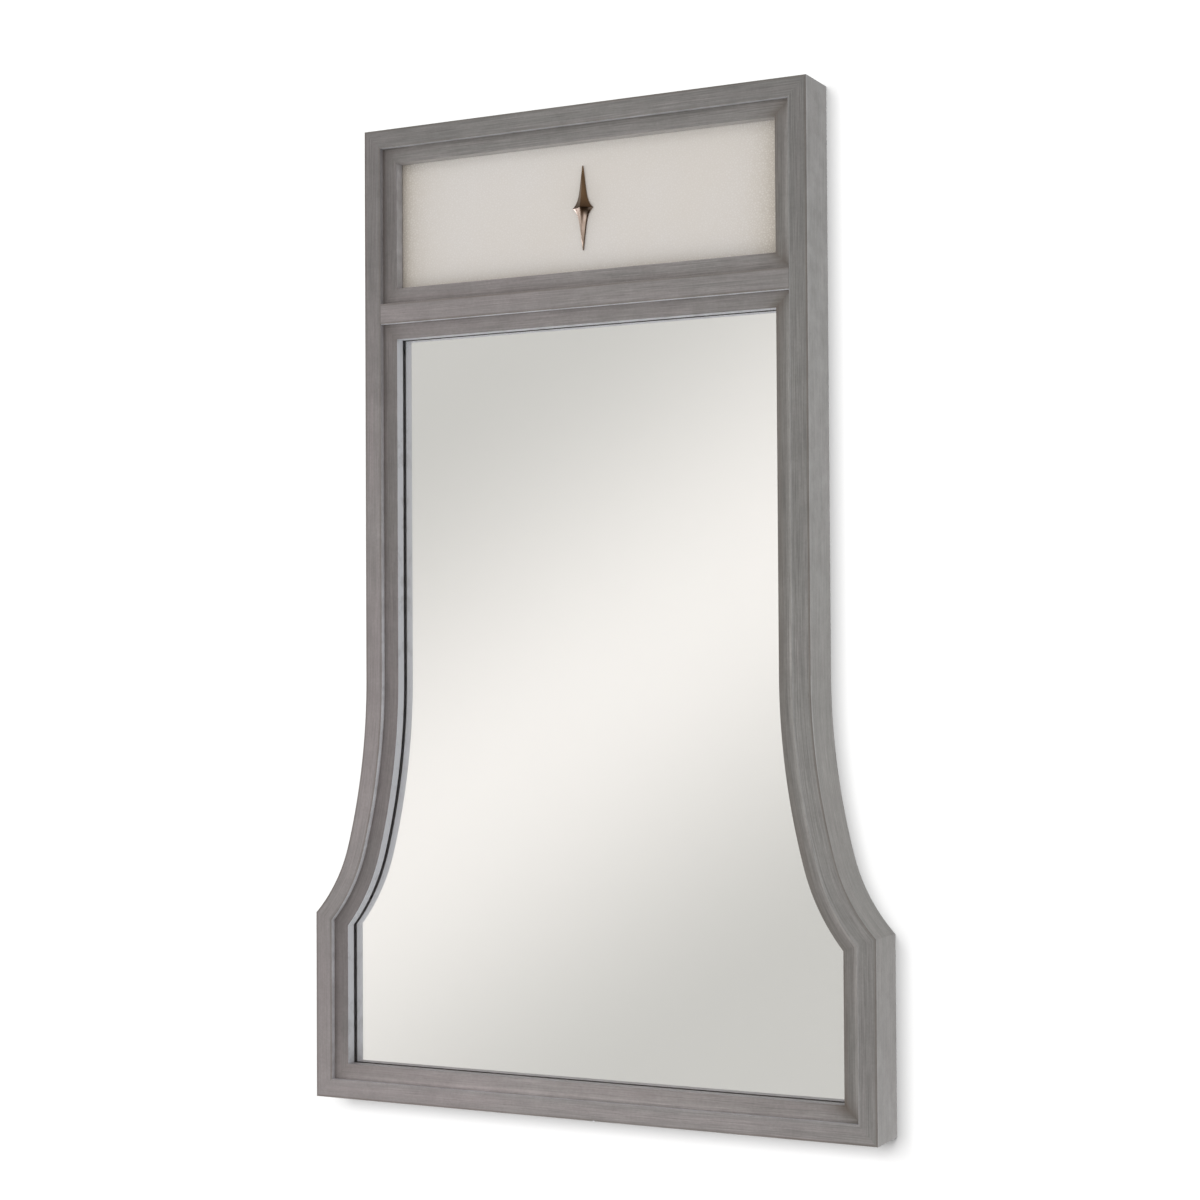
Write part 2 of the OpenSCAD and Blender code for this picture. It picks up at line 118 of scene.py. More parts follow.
# Bent angle clips: leg, thickness and width, the place of the screw along the leg, and how far they stay
# from corners, blocks and rails
CLIP_LEG, CLIP_THICK, CLIP_WIDTH = 18 * MM, 1.5 * MM, 20 * MM
CLIP_HOLE = 0.6 * CLIP_LEG
CLIP_CLEAR, CLIP_FROM_BLOCK, CLIP_FROM_RAIL = 55 * MM, 65 * MM, 30 * MM

# Screws: radius and height of the head, depth of its recess, and length of the shank
CLIP_SCREW = (3.5 * MM, 1.93 * MM, 1.3 * MM, 20 * MM)
CLEAT_SCREW = (4.2 * MM, 2.31 * MM, 1.5 * MM, 16 * MM)

# The two short sides of a glue block, and the chamfer and easing of its edges
BLOCK_SIZE, BLOCK_CHAMFER, BLOCK_EASING = 45 * MM, 0.6 * MM, 1.2 * MM

# The studio: height of its floor, and width, depth and height of floor and wall, in metres
FLOOR_Z = -1.82
STAGE_WIDE, STAGE_DEEP, STAGE_TALL = 12, 14, 6

# The lamp that lights the wall: width, height and place in metres, and power in watts
LAMP_WIDE, LAMP_TALL, LAMP_POWER = 8.7, 6.6, 9100
LAMP_PLACE = (0.15, -14.0, 1.93)

# The photograph's camera: turns in radians, place, and focal length and upward shift in pixels of a
# picture that is PICTURE pixels wide
PICTURE = 1200
YAW, PITCH, ROLL = 0.47139, 0.02471, -0.00577
EYE = (1.56366, -3.07159, -0.72478)
FOCAL, SHIFT = 2320.08, 20
SENSOR = 36.0


# Properties


def length(name, description, default, low_end, high_end):
    """A length that a user may change, in metres."""
    return bpy.props.FloatProperty(
        name=name, description=description, default=default, min=low_end, max=high_end,
        unit="LENGTH", subtype="DISTANCE", precision=5)


def colour(name, description, default):
    """A colour that a user may change, scene linear."""
    return bpy.props.FloatVectorProperty(
        name=name, description=description, default=default, size=3, min=0.0, max=1.0,
        subtype="COLOR")


class WallMirrorSizes(bpy.types.PropertyGroup):
    """Sizes of the shaped details."""

    upper_radius: length(
        "Upper flare radius", "Radius of the long upper curve of a flare", 0.985, 0.8, 1.2)
    lower_radius: length(
        "Lower flare radius", "Radius of the short lower curve of a flare", 0.245, 0.2, 0.3)
    flare_turn: bpy.props.FloatProperty(
        name="Flare turn", description="Angle through which the upper curve turns",
        default=math.radians(15), min=0.1, max=0.4, subtype="ANGLE", unit="ROTATION")
    arris: length(
        "Arris", "Radius of the eased front arrises of the boards", 0.9 * MM, 0.2 * MM, 3 * MM)
    liner_arris: length(
        "Liner arris", "Radius of the eased arrises of the liners", 0.8 * MM, 0.2 * MM, 3 * MM)
    leather_dip: length(
        "Leather dip", "Fall of the leather towards the liner", 0.9 * MM, 0.0, 1.3 * MM)


class WallMirrorColours(bpy.types.PropertyGroup):
    """Colours of the finishes."""

    glaze_warm: colour("Warm glaze", "Lilac-taupe cast of the glaze", (0.270, 0.241, 0.243))
    glaze_cool: colour("Cool glaze", "Green-grey cast of the glaze", (0.250, 0.244, 0.236))
    # Deep glaze in the pores and corners, and also the colour of the painted shade at the steps and arrises
    deep_glaze_and_shade: colour("Deep glaze", "Glaze left in the inner corners", (0.092, 0.068, 0.049))
    # Painted light: a paler glaze standing for light on the steps, sides and inner walls, and highlights on
    # arrises
    rubbed: colour("Rubbed glaze", "Glaze rubbed thin on the steps", (0.72, 0.735, 0.77))
    leather: colour("Leather", "Cream leather", (0.748, 0.72, 0.698))
    # Painted light: the leather made paler below the top liner, against the shade there
    leather_painted_light: colour("Leather, pale", "Leather below the top liner", (0.93, 0.91, 0.885))
    # Painted shade on the leather towards the liners; also the colour of its random mottle
    leather_shade_and_mottle: colour("Leather edge", "Leather shaded towards the liners", (0.67, 0.605, 0.51))
    bronze: colour("Bronze", "Patina on the star", (0.158, 0.095, 0.052))
    # Painted highlight: the bright colour of the star's facets where they would catch light
    bronze_highlight: colour("Rubbed bronze", "Bronze where the patina is rubbed", (0.86, 0.71, 0.63))
    backing: colour("Fibreboard", "Backing boards", (0.26, 0.17, 0.10))
    raw_wood: colour("Bare wood", "Rail, blocks and dowels", (0.52, 0.36, 0.21))
    wall: colour("Wall", "Wall of the studio, under its own strong light", (0.22, 0.22, 0.22))
    floor: colour("Floor", "Floor of the studio", (0.9, 0.9, 0.9))


# Meshes


def running(steps):
    """Distances from a first point, worked out from the steps between neighbours."""
    return np.concatenate([[0], np.cumsum(steps)])


def skin(name, rings, along=None, around=None, closed=False, masks=None):
    """A closed surface from rows of points.

    rings has the shape rows, points round, 3. Each row is a closed loop, neighbouring rows are joined by
    four-sided faces, and the end rows are closed by one face each, unless the rows themselves close up.
    Faces are turned to make the volume inside them positive. The map "Grain" holds metres: along the rows,
    and round each loop. masks are values kept on the points.
    """
    rows, count = rings.shape[:2]
    index = np.arange(rows * count).reshape(rows, count)
    ahead = np.roll(index, -1, axis=0) if closed else index[1:]
    here = index[:len(ahead)]
    quads = np.stack([here, ahead, np.roll(ahead, -1, axis=1), np.roll(here, -1, axis=1)], axis=-1)
    quads = quads.reshape(-1, 4)
    points = rings.reshape(-1, 3)
    a, b, c, d = (points[quads[:, k]] - points.mean(0) for k in range(4))
    volume = np.einsum("ij,ij->i", a, np.cross(b, c) + np.cross(c, d)).sum()
    if along is None:
        along = running(np.linalg.norm(np.diff(rings, axis=0), axis=2).mean(1))
    if around is None:
        around = running(np.linalg.norm(np.roll(rings, -1, axis=1) - rings, axis=2).mean(0))
    if closed:
        along = np.append(along, along[-1] + (along[-1] - along[-2]))
    uv = np.zeros((len(along) - 1, count, 4, 2))
    uv[:, :, [0, 3], 0] = along[:-1, None, None]
    uv[:, :, [1, 2], 0] = along[1:, None, None]
    uv[:, :, :2, 1] = around[:-1, None]
    uv[:, :, 2:, 1] = around[1:, None]
    uv = uv.reshape(-1, 4, 2)
    ends = [] if closed else [index[0], index[-1][::-1]]
    if volume < 0:
        quads, uv, ends = quads[:, ::-1], uv[:, ::-1], [end[::-1] for end in ends]
    mesh = bpy.data.meshes.new(name)
    mesh.from_pydata(points.tolist(), [], quads.tolist() + [end.tolist() for end in ends])
    caps = [points[end][:, [0, 2]] for end in ends]
    layer = mesh.uv_layers.new(name="Grain")
    layer.data.foreach_set("uv", np.concatenate([uv.reshape(-1, 2), *caps]).ravel().astype(np.float32))
    for key, values in (masks or {}).items():
        attribute = mesh.attributes.new(key, "FLOAT", "POINT")
        values = np.broadcast_to(values, (rows, count)).ravel().astype(np.float32)
        attribute.data.foreach_set("value", values)
    mesh.polygons.foreach_set("use_smooth", np.ones(len(mesh.polygons), bool))
    mesh.set_sharp_from_angle(angle=SHARP)
    mesh.update()
    return mesh


def merged(name, meshes):
    """Several meshes as one, with their maps and masks."""
    whole = bmesh.new()
    for mesh in meshes:
        whole.from_mesh(mesh)
    result = bpy.data.meshes.new(name)
    whole.to_mesh(result)
    whole.free()
    for mesh in meshes:
        bpy.data.meshes.remove(mesh)
    return result


def piece(name, mesh, finish, node):
    """Puts a finished mesh into the scene as a piece that stands for a CAD node."""
    obj = bpy.data.objects.new(name, mesh)
    mesh.name = name
    mesh.materials.append(finish)
    bpy.context.scene.collection.objects.link(obj)
    level = obj.modifiers.new("Level faces", "WEIGHTED_NORMAL")
    level.keep_sharp = True
    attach(obj, "root")
    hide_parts(node)
    return obj


def section(d0, d1, y0, y1, radii):
    """A rounded rectangle of inset and depth, as two arrays of points in order round it.

    radii are those of the front outer, front inner, back inner and back outer corners. A corner is a
    quarter circle, and each side has extra points close to its corners.
    """
    corners = [(d0, y0, 1, 1), (d1, y0, -1, 1), (d1, y1, -1, -1), (d0, y1, 1, -1)]
    starts = [math.pi, 1.5 * math.pi, 0.0, 0.5 * math.pi]
    arcs = []
    for (d, y, sd, sy), start, r in zip(corners, starts, radii):
        turn = start + np.linspace(0, math.pi / 2, ARC_STEPS + 1)
        arcs.append(np.stack([d + sd * r + r * np.cos(turn), y + sy * r + r * np.sin(turn)], axis=1))
    points = []
    for k in range(4):
        a, b = arcs[k][-1], arcs[(k + 1) % 4][0]
        span = np.linalg.norm(b - a)
        t = CLOSE_BY[CLOSE_BY < span * 0.45] / span
        t = np.concatenate([t, [0.5], 1 - t[::-1]])
        points += [arcs[k], a + (b - a) * t[:, None]]
    points = np.concatenate(points)
    return points[:, 0], points[:, 1]


def straight_path(a0, a1, b0, b1, insets):
    """A path for a straight bar: outer edge from a0 to a1 and inner edge from b0 to b1, in x and z.

    The point at a share along and an inset is the even blend of the four corners.
    """
    a0, a1, b0, b1 = (np.array(p, float) for p in (a0, a1, b0, b1))

    def place(share, inset):
        s = share[..., None]
        t = ((inset - insets[0]) / (insets[1] - insets[0]))[..., None]
        return (a0 * (1 - s) + a1 * s) * (1 - t) + (b0 * (1 - s) + b1 * s) * t

    return place


def flare_centres(sizes):
    """Centres, in x and z, of the upper and lower curves of the right-hand flare."""
    gap = sizes.upper_radius - sizes.lower_radius
    upper = np.array([TOP_HALF + sizes.upper_radius, STRAIGHT_LOW])
    lower = upper - gap * np.array([math.cos(sizes.flare_turn), math.sin(sizes.flare_turn)])
    return upper, lower


def shoulder_z(sizes, inset):
    """Height at which a line inside the outline turns the corner of the base block."""
    lower = flare_centres(sizes)[1]
    across = lower[0] - (BASE_HALF - inset)
    return lower[1] - np.sqrt((sizes.lower_radius + inset) ** 2 - across ** 2)


def flare_path(sizes):
    """A path for the right-hand flare.

    Up to the share where the curves meet, the point turns about the upper centre at the upper radius
    plus the inset. From there it turns about the lower centre, to the mitre at the shoulder.
    """
    upper, lower = flare_centres(sizes)
    r1, r2, turn = sizes.upper_radius, sizes.lower_radius, sizes.flare_turn

    def place(share, inset):
        end = np.arccos((lower[0] - (BASE_HALF - inset)) / (r2 + inset))
        first = r1 * turn
        meet = first / (first + r2 * (math.acos((lower[0] - BASE_HALF) / r2) - turn))
        a1 = math.pi + turn * np.minimum(share / meet, 1)
        a2 = math.pi + turn + (end - turn) * np.clip((share - meet) / (1 - meet), 0, 1)
        on_first = share <= meet
        x = np.where(on_first, upper[0] + (r1 + inset) * np.cos(a1), lower[0] + (r2 + inset) * np.cos(a2))
        z = np.where(on_first, upper[1] + (r1 + inset) * np.sin(a1), lower[1] + (r2 + inset) * np.sin(a2))
        return np.stack([x, z], axis=-1)

    return place


def fade(distance, reach):
    """A mask that falls from 1 as e to the minus distance over reach, in millimetres."""
    return np.exp(-np.clip(distance, 0, None) / (reach * MM))


def line(distance, width):
    """A mask that peaks where a distance is 0: e to the minus square of distance over width."""
    return np.exp(-(distance / (width * MM)) ** 2)


def ramp(distance, reach):
    """A mask that rises evenly from 0 to 1 as a distance grows from 0 to its reach."""
    return np.clip(distance / reach, 0, 1)


def board_masks(d, y, insets, step, inner, outer):
    """Masks of a board round its section: painted light, outer side, glaze with painted shade, tone, arris.

    step is how much painted light lies on the step down to the liner, inner how dark a line of glaze
    and painted shade lies along the inner arris, and outer how much painted highlight lies on the side
    right by the outer arris. Each is a column with one value for each row of the board.
    """
    on_face, behind = y < FRONT + ON_FACE, y > FRONT + PAST_FACE
    on_side = (d < insets[0] + ON_FACE) & behind
    on_step = (d > insets[1] - ON_FACE) & behind & (y < LINER_FRONT + 1 * MM)
    from_inner, to_liner = insets[1] - d, fade(np.abs(y - LINER_FRONT), 0.9)
    # A painted highlight along the inner arris, and a dark line of glaze and painted shade by each arris
    light = (1 - inner) * line(from_inner - 1.2 * MM, 1.2) + 0.3 * inner * line(from_inner - 5 * MM, 2)
    dark = inner * line(from_inner - 1.2 * MM, 1.5) + 0.6 * line(d - insets[0] - 1.3 * MM, 1.5)
    # Glaze and painted shade: the dark lines on the face, and painted shade at the foot of the step
    glaze_and_shade = np.maximum(dark * on_face, 0.35 * to_liner * (d > insets[1] - 1 * MM))
    # Painted highlight on the side right by the outer arris
    highlit = outer * line(y - FRONT - 1.2 * MM, 1.4) * on_side
    # Painted light on step and side, stronger near the front, and a side tone 6 % darker
    return (step * on_step * (1 - to_liner) + 0.15 * light * on_face + highlit,
            (1 + fade(y - FRONT - 1 * MM, 2)) * on_side, glaze_and_shade, 1 - 0.06 * on_side,
            line(np.minimum(d - insets[0], from_inner) + y - FRONT, 2.2))


def liner_masks(d, y, insets, near, far, strip, pale):
    """Masks of a liner round its section: an empty one, inner wall, glaze and painted shade, tone, arris.

    near and far are how much painted shade lies by the step and by the inner edge, strip how much paler
    with painted light a strip close to the step is, and pale how much paler with painted light the inner
    wall is. Each is a column with one value for each row of the liner.
    """
    on_face = y < LINER_FRONT + ON_FACE
    on_wall = (d > insets[1] - ON_FACE) & (y > LINER_FRONT + PAST_FACE)
    from_step, to_seat = d - insets[0], line(SEAT - y, 1.3)
    # Painted shade by the step and by the inner edge, and a painted dark line at the inner wall's foot
    glaze_and_shade = 0.1 * fade(from_step, 0.8) + near * fade(from_step, 6) + far * fade(insets[1] - d, 12)
    glaze_and_shade = np.maximum(glaze_and_shade * on_face, (1 - pale) * to_seat * (d > insets[1] - 1 * MM))
    return (np.zeros_like(d), on_wall * (1 - to_seat), glaze_and_shade,
            # Painted light: a paler strip by the step, and a paler inner wall
            1 + strip * line(from_step - 4 * MM, 4) * on_face + pale * on_wall,
            0.6 * line(insets[1] - d + y - LINER_FRONT, 1.8))


def bar(name, path, insets, depths, radii, rows, look, marks, mirror=False, ends=(0.0, 0.0),
        start=(0.0, 0.0), corners=(None, None)):
    """A board or liner: a rounded section carried along a path in the plane of the frame.

    look is the tone of its glaze, partly painted light, its cast, and how much painted light lies on its
    side or inner wall. marks is the three values that board_masks takes, or the four of liner_masks. Each
    of these is one number, or values evenly spaced along the bar. ends is how much darker the face grows
    towards each end. start is where its grain starts, along and round. corners is the tone, the cast and
    the first three marks that each end comes to at its mitre, the same on both bars that meet there, so
    that glaze, painted light and painted shade run on round the corner. Returns the mesh and the bar's
    length.
    """
    d, y = section(*insets, *depths, radii)
    share = np.linspace(0, 1, rows)[:, None] * np.ones(len(d))
    plane = path(share, np.ones((rows, 1)) * d)
    x = plane[..., 0] * (-1 if mirror else 1)
    rings = np.stack([x, np.ones((rows, 1)) * y, plane[..., 1]], axis=-1)
    along = running(np.linalg.norm(np.diff(plane.mean(1), axis=0), axis=1))
    loop = np.stack([d, y], axis=1)
    around = running(np.linalg.norm(np.roll(loop, -1, axis=0) - loop, axis=1))
    tone, cast, side, *marks = (
        np.interp(share[:, :1], np.linspace(0, 1, len(stops)), stops)
        for stops in map(np.atleast_1d, look + marks))
    for distance, corner in zip((along, along[-1] - along), corners):
        if corner:
            near = fade(distance, CORNER_REACH)[:, None]
            tone, cast, *marks[:3] = (
                here + (there - here) * near
                for here, there in zip((tone, cast, *marks[:3]), corner))
    masks_of = board_masks if len(marks) == 3 else liner_masks
    rub, wall, glaze_and_shade, paler, arris = masks_of(d, y, insets, *marks)
    # Darker towards each end
    reached = ends[0] * fade(along, END_REACH) + ends[1] * fade(along[-1] - along, END_REACH)
    reached = reached[:, None] * (y < depths[0] + 1 * MM)
    # The first mask holds painted light, glaze holds glaze and painted shade, and tone is partly painted
    # light
    masks = {"rub": rub + side * wall, "glaze": np.clip(glaze_and_shade + reached, 0, 1), "tone": tone * paler,
             "cast": cast, "arris": arris}
    return skin(name, rings, along + start[0], around + start[1], masks=masks), along[-1]


# Node helpers


def add(tree, kind, inputs=None, **settings):
    """A node with its settings and inputs. An input is a value, or a socket to link from."""
    node = tree.nodes.new(kind)
    for key, value in settings.items():
        setattr(node, key, value)
    for key, value in (inputs or {}).items():
        socket = node.inputs[key]
        if isinstance(value, bpy.types.NodeSocket):
            tree.links.new(value, socket)
        else:
            socket.default_value = value
    return node


def rgba(values, shares=1.0):
    """A colour property as four numbers, made darker or lighter by a share, or by one for each channel."""
    return (*np.minimum(1.0, np.array(values) * shares), 1.0)


def noise(tree, vector, scale, detail=3.0, rough=0.5):
    """A noise texture's value."""
    return add(tree, "ShaderNodeTexNoise", {
        "Vector": vector, "Scale": scale, "Detail": detail, "Roughness": rough}).outputs["Fac"]


def stretched(tree, vector, scale):
    """A vector scaled by three numbers."""
    return add(tree, "ShaderNodeMapping", {"Vector": vector, "Scale": scale}).outputs["Vector"]


def drawn_out(tree, vector, scale, detail=3.0):
    """A noise drawn out, because its vector is first scaled by three numbers."""
    return noise(tree, stretched(tree, vector, scale), 1.0, detail, 0.6)


def remap(tree, value, from_low, from_high, to_low=0.0, to_high=1.0, smooth=False):
    """A value carried from one range to another, held at its ends."""
    return add(tree, "ShaderNodeMapRange", {
        "Value": value, "From Min": from_low, "From Max": from_high, "To Min": to_low, "To Max": to_high},
        interpolation_type="SMOOTHSTEP" if smooth else "LINEAR").outputs["Result"]


def maths(tree, operation, *values, clamp=False):
    """One operation on one or two values."""
    inputs = dict(enumerate(values))
    return add(tree, "ShaderNodeMath", inputs, operation=operation, use_clamp=clamp).outputs[0]


def times(tree, a, b, clamp=False):
    """The product of two values."""
    return maths(tree, "MULTIPLY", a, b, clamp=clamp)


def plus(tree, a, b, clamp=False):
    """The sum of two values."""
    return maths(tree, "ADD", a, b, clamp=clamp)


def minus(tree, a, b):
    """A value less another."""
    return maths(tree, "SUBTRACT", a, b)


def between(tree, value, low_end, high_end):
    """A value from 0 to 1 carried to a range."""
    return plus(tree, times(tree, value, high_end - low_end), low_end)


def mix(tree, factor, a, b, blend="MIX"):
    """Two colours blended by a factor."""
    inputs = {0: factor, 6: a, 7: b}
    return add(tree, "ShaderNodeMix", inputs, data_type="RGBA", blend_type=blend).outputs[2]


def scaled(tree, tint, value):
    """A colour times a value."""
    grey = add(tree, "ShaderNodeCombineColor", {0: value, 1: value, 2: value}).outputs[0]
    return mix(tree, 1.0, tint, grey, "MULTIPLY")


def group(name, build, inputs, outputs):
    """A shader node group. inputs and outputs list names under their kind of socket, and build fills it."""
    tree = bpy.data.node_groups.new(name, "ShaderNodeTree")
    for direction, kinds in (("INPUT", inputs), ("OUTPUT", outputs)):
        for kind, labels in kinds.items():
            for label in labels.split():
                tree.interface.new_socket(label, in_out=direction, socket_type="NodeSocket" + kind)
    source = tree.nodes.new("NodeGroupInput")
    result = tree.nodes.new("NodeGroupOutput")
    for label, socket in build(tree, source.outputs).items():
        tree.links.new(socket, result.inputs[label])
    return tree


def use(tree, name, inputs):
    """A placed node group, by name. The group is built the first time that it is used."""
    made = bpy.data.node_groups.get(name) or group(name, *GROUPS[name])
    return add(tree, "ShaderNodeGroup", inputs, node_tree=made).outputs


def material(name, shader, build=None):
    """A material of one Principled shader. shader holds its constants, and build its linked inputs."""
    result = bpy.data.materials.new(name)
    result.use_nodes = True
    tree = result.node_tree
    principled = tree.nodes["Principled BSDF"]
    for key, value in shader.items():
        principled.inputs[key].default_value = value
    if build:
        for key, socket in build(tree).items():
            tree.links.new(socket, principled.inputs[key])
    return result


def bump(tree, height, distance, strength):
    """A normal from a height, whose full range stands for a distance in metres."""
    inputs = {"Height": height, "Distance": distance, "Strength": strength}
    return add(tree, "ShaderNodeBump", inputs).outputs[0]


def coordinates(tree):
    """The place of a point on its piece, in metres, or in the world the direction looked in."""
    return add(tree, "ShaderNodeTexCoord").outputs["Object"]


def grain_map(tree):
    """The map that runs along a piece and round its section, in metres."""
    return add(tree, "ShaderNodeUVMap", uv_map="Grain").outputs[0]


def mask(tree, name):
    """A mask kept on the piece's points."""
    return add(tree, "ShaderNodeAttribute", attribute_name=name, attribute_type="GEOMETRY").outputs["Fac"]


# Node groups


def build_grain(tree, given):
    """Long streaks, broad bands and short pores, all drawn out along the first axis of the vector."""
    vector = given["Vector"]
    return {
        "Streaks": remap(tree, drawn_out(tree, vector, (13, 560, 560)), 0.28, 0.72),
        "Bands": remap(tree, drawn_out(tree, vector, (3.6, 95, 95)), 0.32, 0.68),
        "Pores": remap(tree, drawn_out(tree, vector, (45, 1300, 1300), 2.0), 0.60, 0.72, smooth=True),
    }


def build_glaze(tree, given):
    """Brushed grey glaze: a cast that drifts warm and cool, darker with glaze and painted shade, lighter
    with painted light.

    Rare nicks along the arrises show pale.
    """
    place = given["Place"]
    grain = use(tree, "Wood grain", {"Vector": given["Grain"]})
    streaks, bands = grain["Streaks"], grain["Bands"]
    drift = remap(tree, noise(tree, place, 4.5, 3.0, 0.6), 0.34, 0.66)
    patches = remap(tree, noise(tree, place, 34.0, 5.0, 0.68), 0.35, 0.65)
    mottle = remap(tree, noise(tree, place, 260.0, 2.0, 0.5), 0.3, 0.7)
    # The cast leans by as much as drift and bands are off their mean, and warm glaze is less streaked
    leaning = plus(tree, times(tree, drift, 0.35), times(tree, bands, 0.35))
    cast = plus(tree, given["Cast"], minus(tree, leaning, 0.35), True)
    amount = minus(tree, 0.58, times(tree, maths(tree, "POWER", given["Cast"], 3.0), 0.4))
    tone = plus(tree, times(tree, minus(tree, streaks, 0.5), amount), 1.0)
    for part, low_end, high_end in ((bands, 0.93, 1.07), (patches, 0.94, 1.06), (mottle, 0.95, 1.05)):
        tone = times(tree, tone, between(tree, part, low_end, high_end))
    coloured = mix(tree, cast, given["Cool"], given["Warm"])
    coloured = scaled(tree, coloured, times(tree, tone, given["Tone"]))
    # Glaze pooled in the corners, with painted shade at the steps and arrises
    pooled_and_shaded = times(tree, given["Gathered"], between(tree, bands, 0.55, 1.1), True)
    coloured = mix(tree, pooled_and_shaded, coloured, given["Deep"])
    coloured = mix(tree, times(tree, grain["Pores"], 0.35), coloured, given["Deep"])
    # Painted light and highlights, broken up by patches
    highlit = times(tree, given["Rub"], between(tree, patches, 0.6, 1.1), True)
    coloured = mix(tree, highlit, coloured, given["Rubbed"])
    nicks = remap(tree, noise(tree, place, 75.0, 1.5, 0.5), 0.775, 0.8)
    nicked = times(tree, nicks, given["Arris"], True)
    coloured = mix(tree, nicked, coloured, (0.68, 0.70, 0.74, 1))
    return {"Color": coloured, "Roughness": between(tree, streaks, 0.44, 0.58),
            "Height": minus(tree, streaks, grain["Pores"])}


def build_speckle(tree, given):
    """Fine and coarse uneven spots between 0 and 1."""
    fine = noise(tree, given["Vector"], given["Scale"], 5.0, 0.65)
    coarse = noise(tree, given["Vector"], times(tree, given["Scale"], 0.12), 3.0, 0.5)
    return {"Fine": remap(tree, fine, 0.3, 0.7), "Coarse": remap(tree, coarse, 0.35, 0.65)}


# The node groups: how each is built, and its inputs and outputs by kind. Bare and glazed wood share the
# grain, and six finishes share the speckle
GROUPS = {
    "Wood grain": (build_grain, {"Vector": "Vector"}, {"Float": "Streaks Bands Pores"}),
    "Speckle": (build_speckle, {"Vector": "Vector", "Float": "Scale"}, {"Float": "Fine Coarse"}),
    "Grey glaze": (
        build_glaze,
        {"Vector": "Grain Place", "Color": "Warm Cool Deep Rubbed",
         "Float": "Tone Cast Gathered Rub Arris"},
        {"Color": "Color", "Float": "Roughness Height"}),
}


# Finishes


def glazed_wood(colours):
    """Glazed wood of the boards and liners. Tone, partly painted light, cast, glaze with painted shade and
    painted light come from the masks of each piece.
    """
    def build(tree):
        glaze = use(tree, "Grey glaze", {
            "Grain": grain_map(tree), "Place": coordinates(tree),
            "Warm": rgba(colours.glaze_warm), "Cool": rgba(colours.glaze_cool),
            "Deep": rgba(colours.deep_glaze_and_shade), "Rubbed": rgba(colours.rubbed),
            "Tone": mask(tree, "tone"), "Cast": mask(tree, "cast"),
            "Gathered": mask(tree, "glaze"), "Rub": mask(tree, "rub"), "Arris": mask(tree, "arris")})
        return {"Base Color": glaze["Color"], "Roughness": glaze["Roughness"],
                "Normal": bump(tree, glaze["Height"], 0.00012, 0.6)}
    return material("Grey glazed wood", {"Coat Weight": 0.12, "Coat Roughness": 0.3}, build)


def leather_finish(colours):
    """Cream leather: small rounded pebbles between fine creases.

    It has painted shade towards the liners at its sides and foot, and painted light under the top one.
    """
    def build(tree):
        place = coordinates(tree)
        wander = add(tree, "ShaderNodeTexNoise", {"Vector": place, "Scale": 160.0, "Detail": 2.0})
        shift = add(tree, "ShaderNodeVectorMath", {0: wander.outputs["Color"], 1: (0.0022,) * 3},
                    operation="MULTIPLY").outputs[0]
        moved = add(tree, "ShaderNodeVectorMath", {0: place, 1: shift}, operation="ADD").outputs[0]
        cells = add(tree, "ShaderNodeTexVoronoi", {"Vector": moved, "Scale": 290.0},
                    feature="DISTANCE_TO_EDGE").outputs["Distance"]
        pebble = remap(tree, cells, 0.0, 0.32, smooth=True)
        fine = noise(tree, place, 2600.0, 2.0, 0.5)
        height = plus(tree, pebble, times(tree, fine, 0.15))
        spots = use(tree, "Speckle", {"Vector": place, "Scale": 60.0})
        # Painted shade towards the liners, and painted light under the top one
        tone = mix(tree, mask(tree, "edge"), rgba(colours.leather), rgba(colours.leather_shade_and_mottle))
        tone = mix(tree, mask(tree, "pale"), tone, rgba(colours.leather_painted_light))
        # Painted shade in the creases, deeper where the leather has painted shade
        edge = between(tree, mask(tree, "edge"), 0.17, 1.5)
        crease_shade = times(tree, minus(tree, 1.0, pebble), edge, True)
        tone = mix(tree, crease_shade, tone, rgba(colours.leather, (0.74, 0.70, 0.64)))
        tone = mix(tree, times(tree, spots["Coarse"], 0.18), tone, rgba(colours.leather_shade_and_mottle))
        return {"Base Color": tone, "Roughness": remap(tree, pebble, 0.0, 1.0, 0.62, 0.46),
                "Normal": bump(tree, times(tree, height, edge), 0.0002, 0.9)}
    return material("Cream leather", {"Coat Weight": 0.04, "Coat Roughness": 0.4}, build)


def bronze_finish(colours):
    """Cast bronze: dark patina, with painted dark reflection darkest in the middle and painted highlights
    on its facets, with a cast grain.
    """
    def build(tree):
        spots = use(tree, "Speckle", {"Vector": coordinates(tree), "Scale": 900.0})
        rub = times(tree, mask(tree, "rub"), remap(tree, spots["Coarse"], 0.0, 1.0, 0.75, 1.0), True)
        mottled = times(tree, spots["Fine"], 0.25)
        tone = mix(tree, mottled, rgba(colours.bronze), (0.21, 0.135, 0.07, 1))
        # Painted dark reflection
        tone = mix(tree, times(tree, mask(tree, "dark"), 0.9), tone, (0.03, 0.016, 0.01, 1))
        # Painted highlight on the facets
        tone = mix(tree, rub, tone, rgba(colours.bronze_highlight))
        return {"Base Color": tone, "Roughness": remap(tree, spots["Fine"], 0.0, 1.0, 0.14, 0.24),
                "Normal": bump(tree, spots["Fine"], 0.00003, 0.5)}
    return material("Patinated bronze", {"Metallic": 1.0}, build)


def glass_finish():
    """Clear glass with a faint green cast and the slightest unevenness of its polish."""
    def build(tree):
        haze = noise(tree, coordinates(tree), 2.0, 2.0)
        return {"Roughness": remap(tree, haze, 0.3, 0.7, 0.0, 0.004),
                "Base Color": mix(tree, haze, (0.982, 0.992, 0.985, 1), (0.985, 0.992, 0.988, 1))}
    return material("Clear glass", {"Transmission Weight": 1.0, "IOR": 1.52, "Metallic": 0.0}, build)


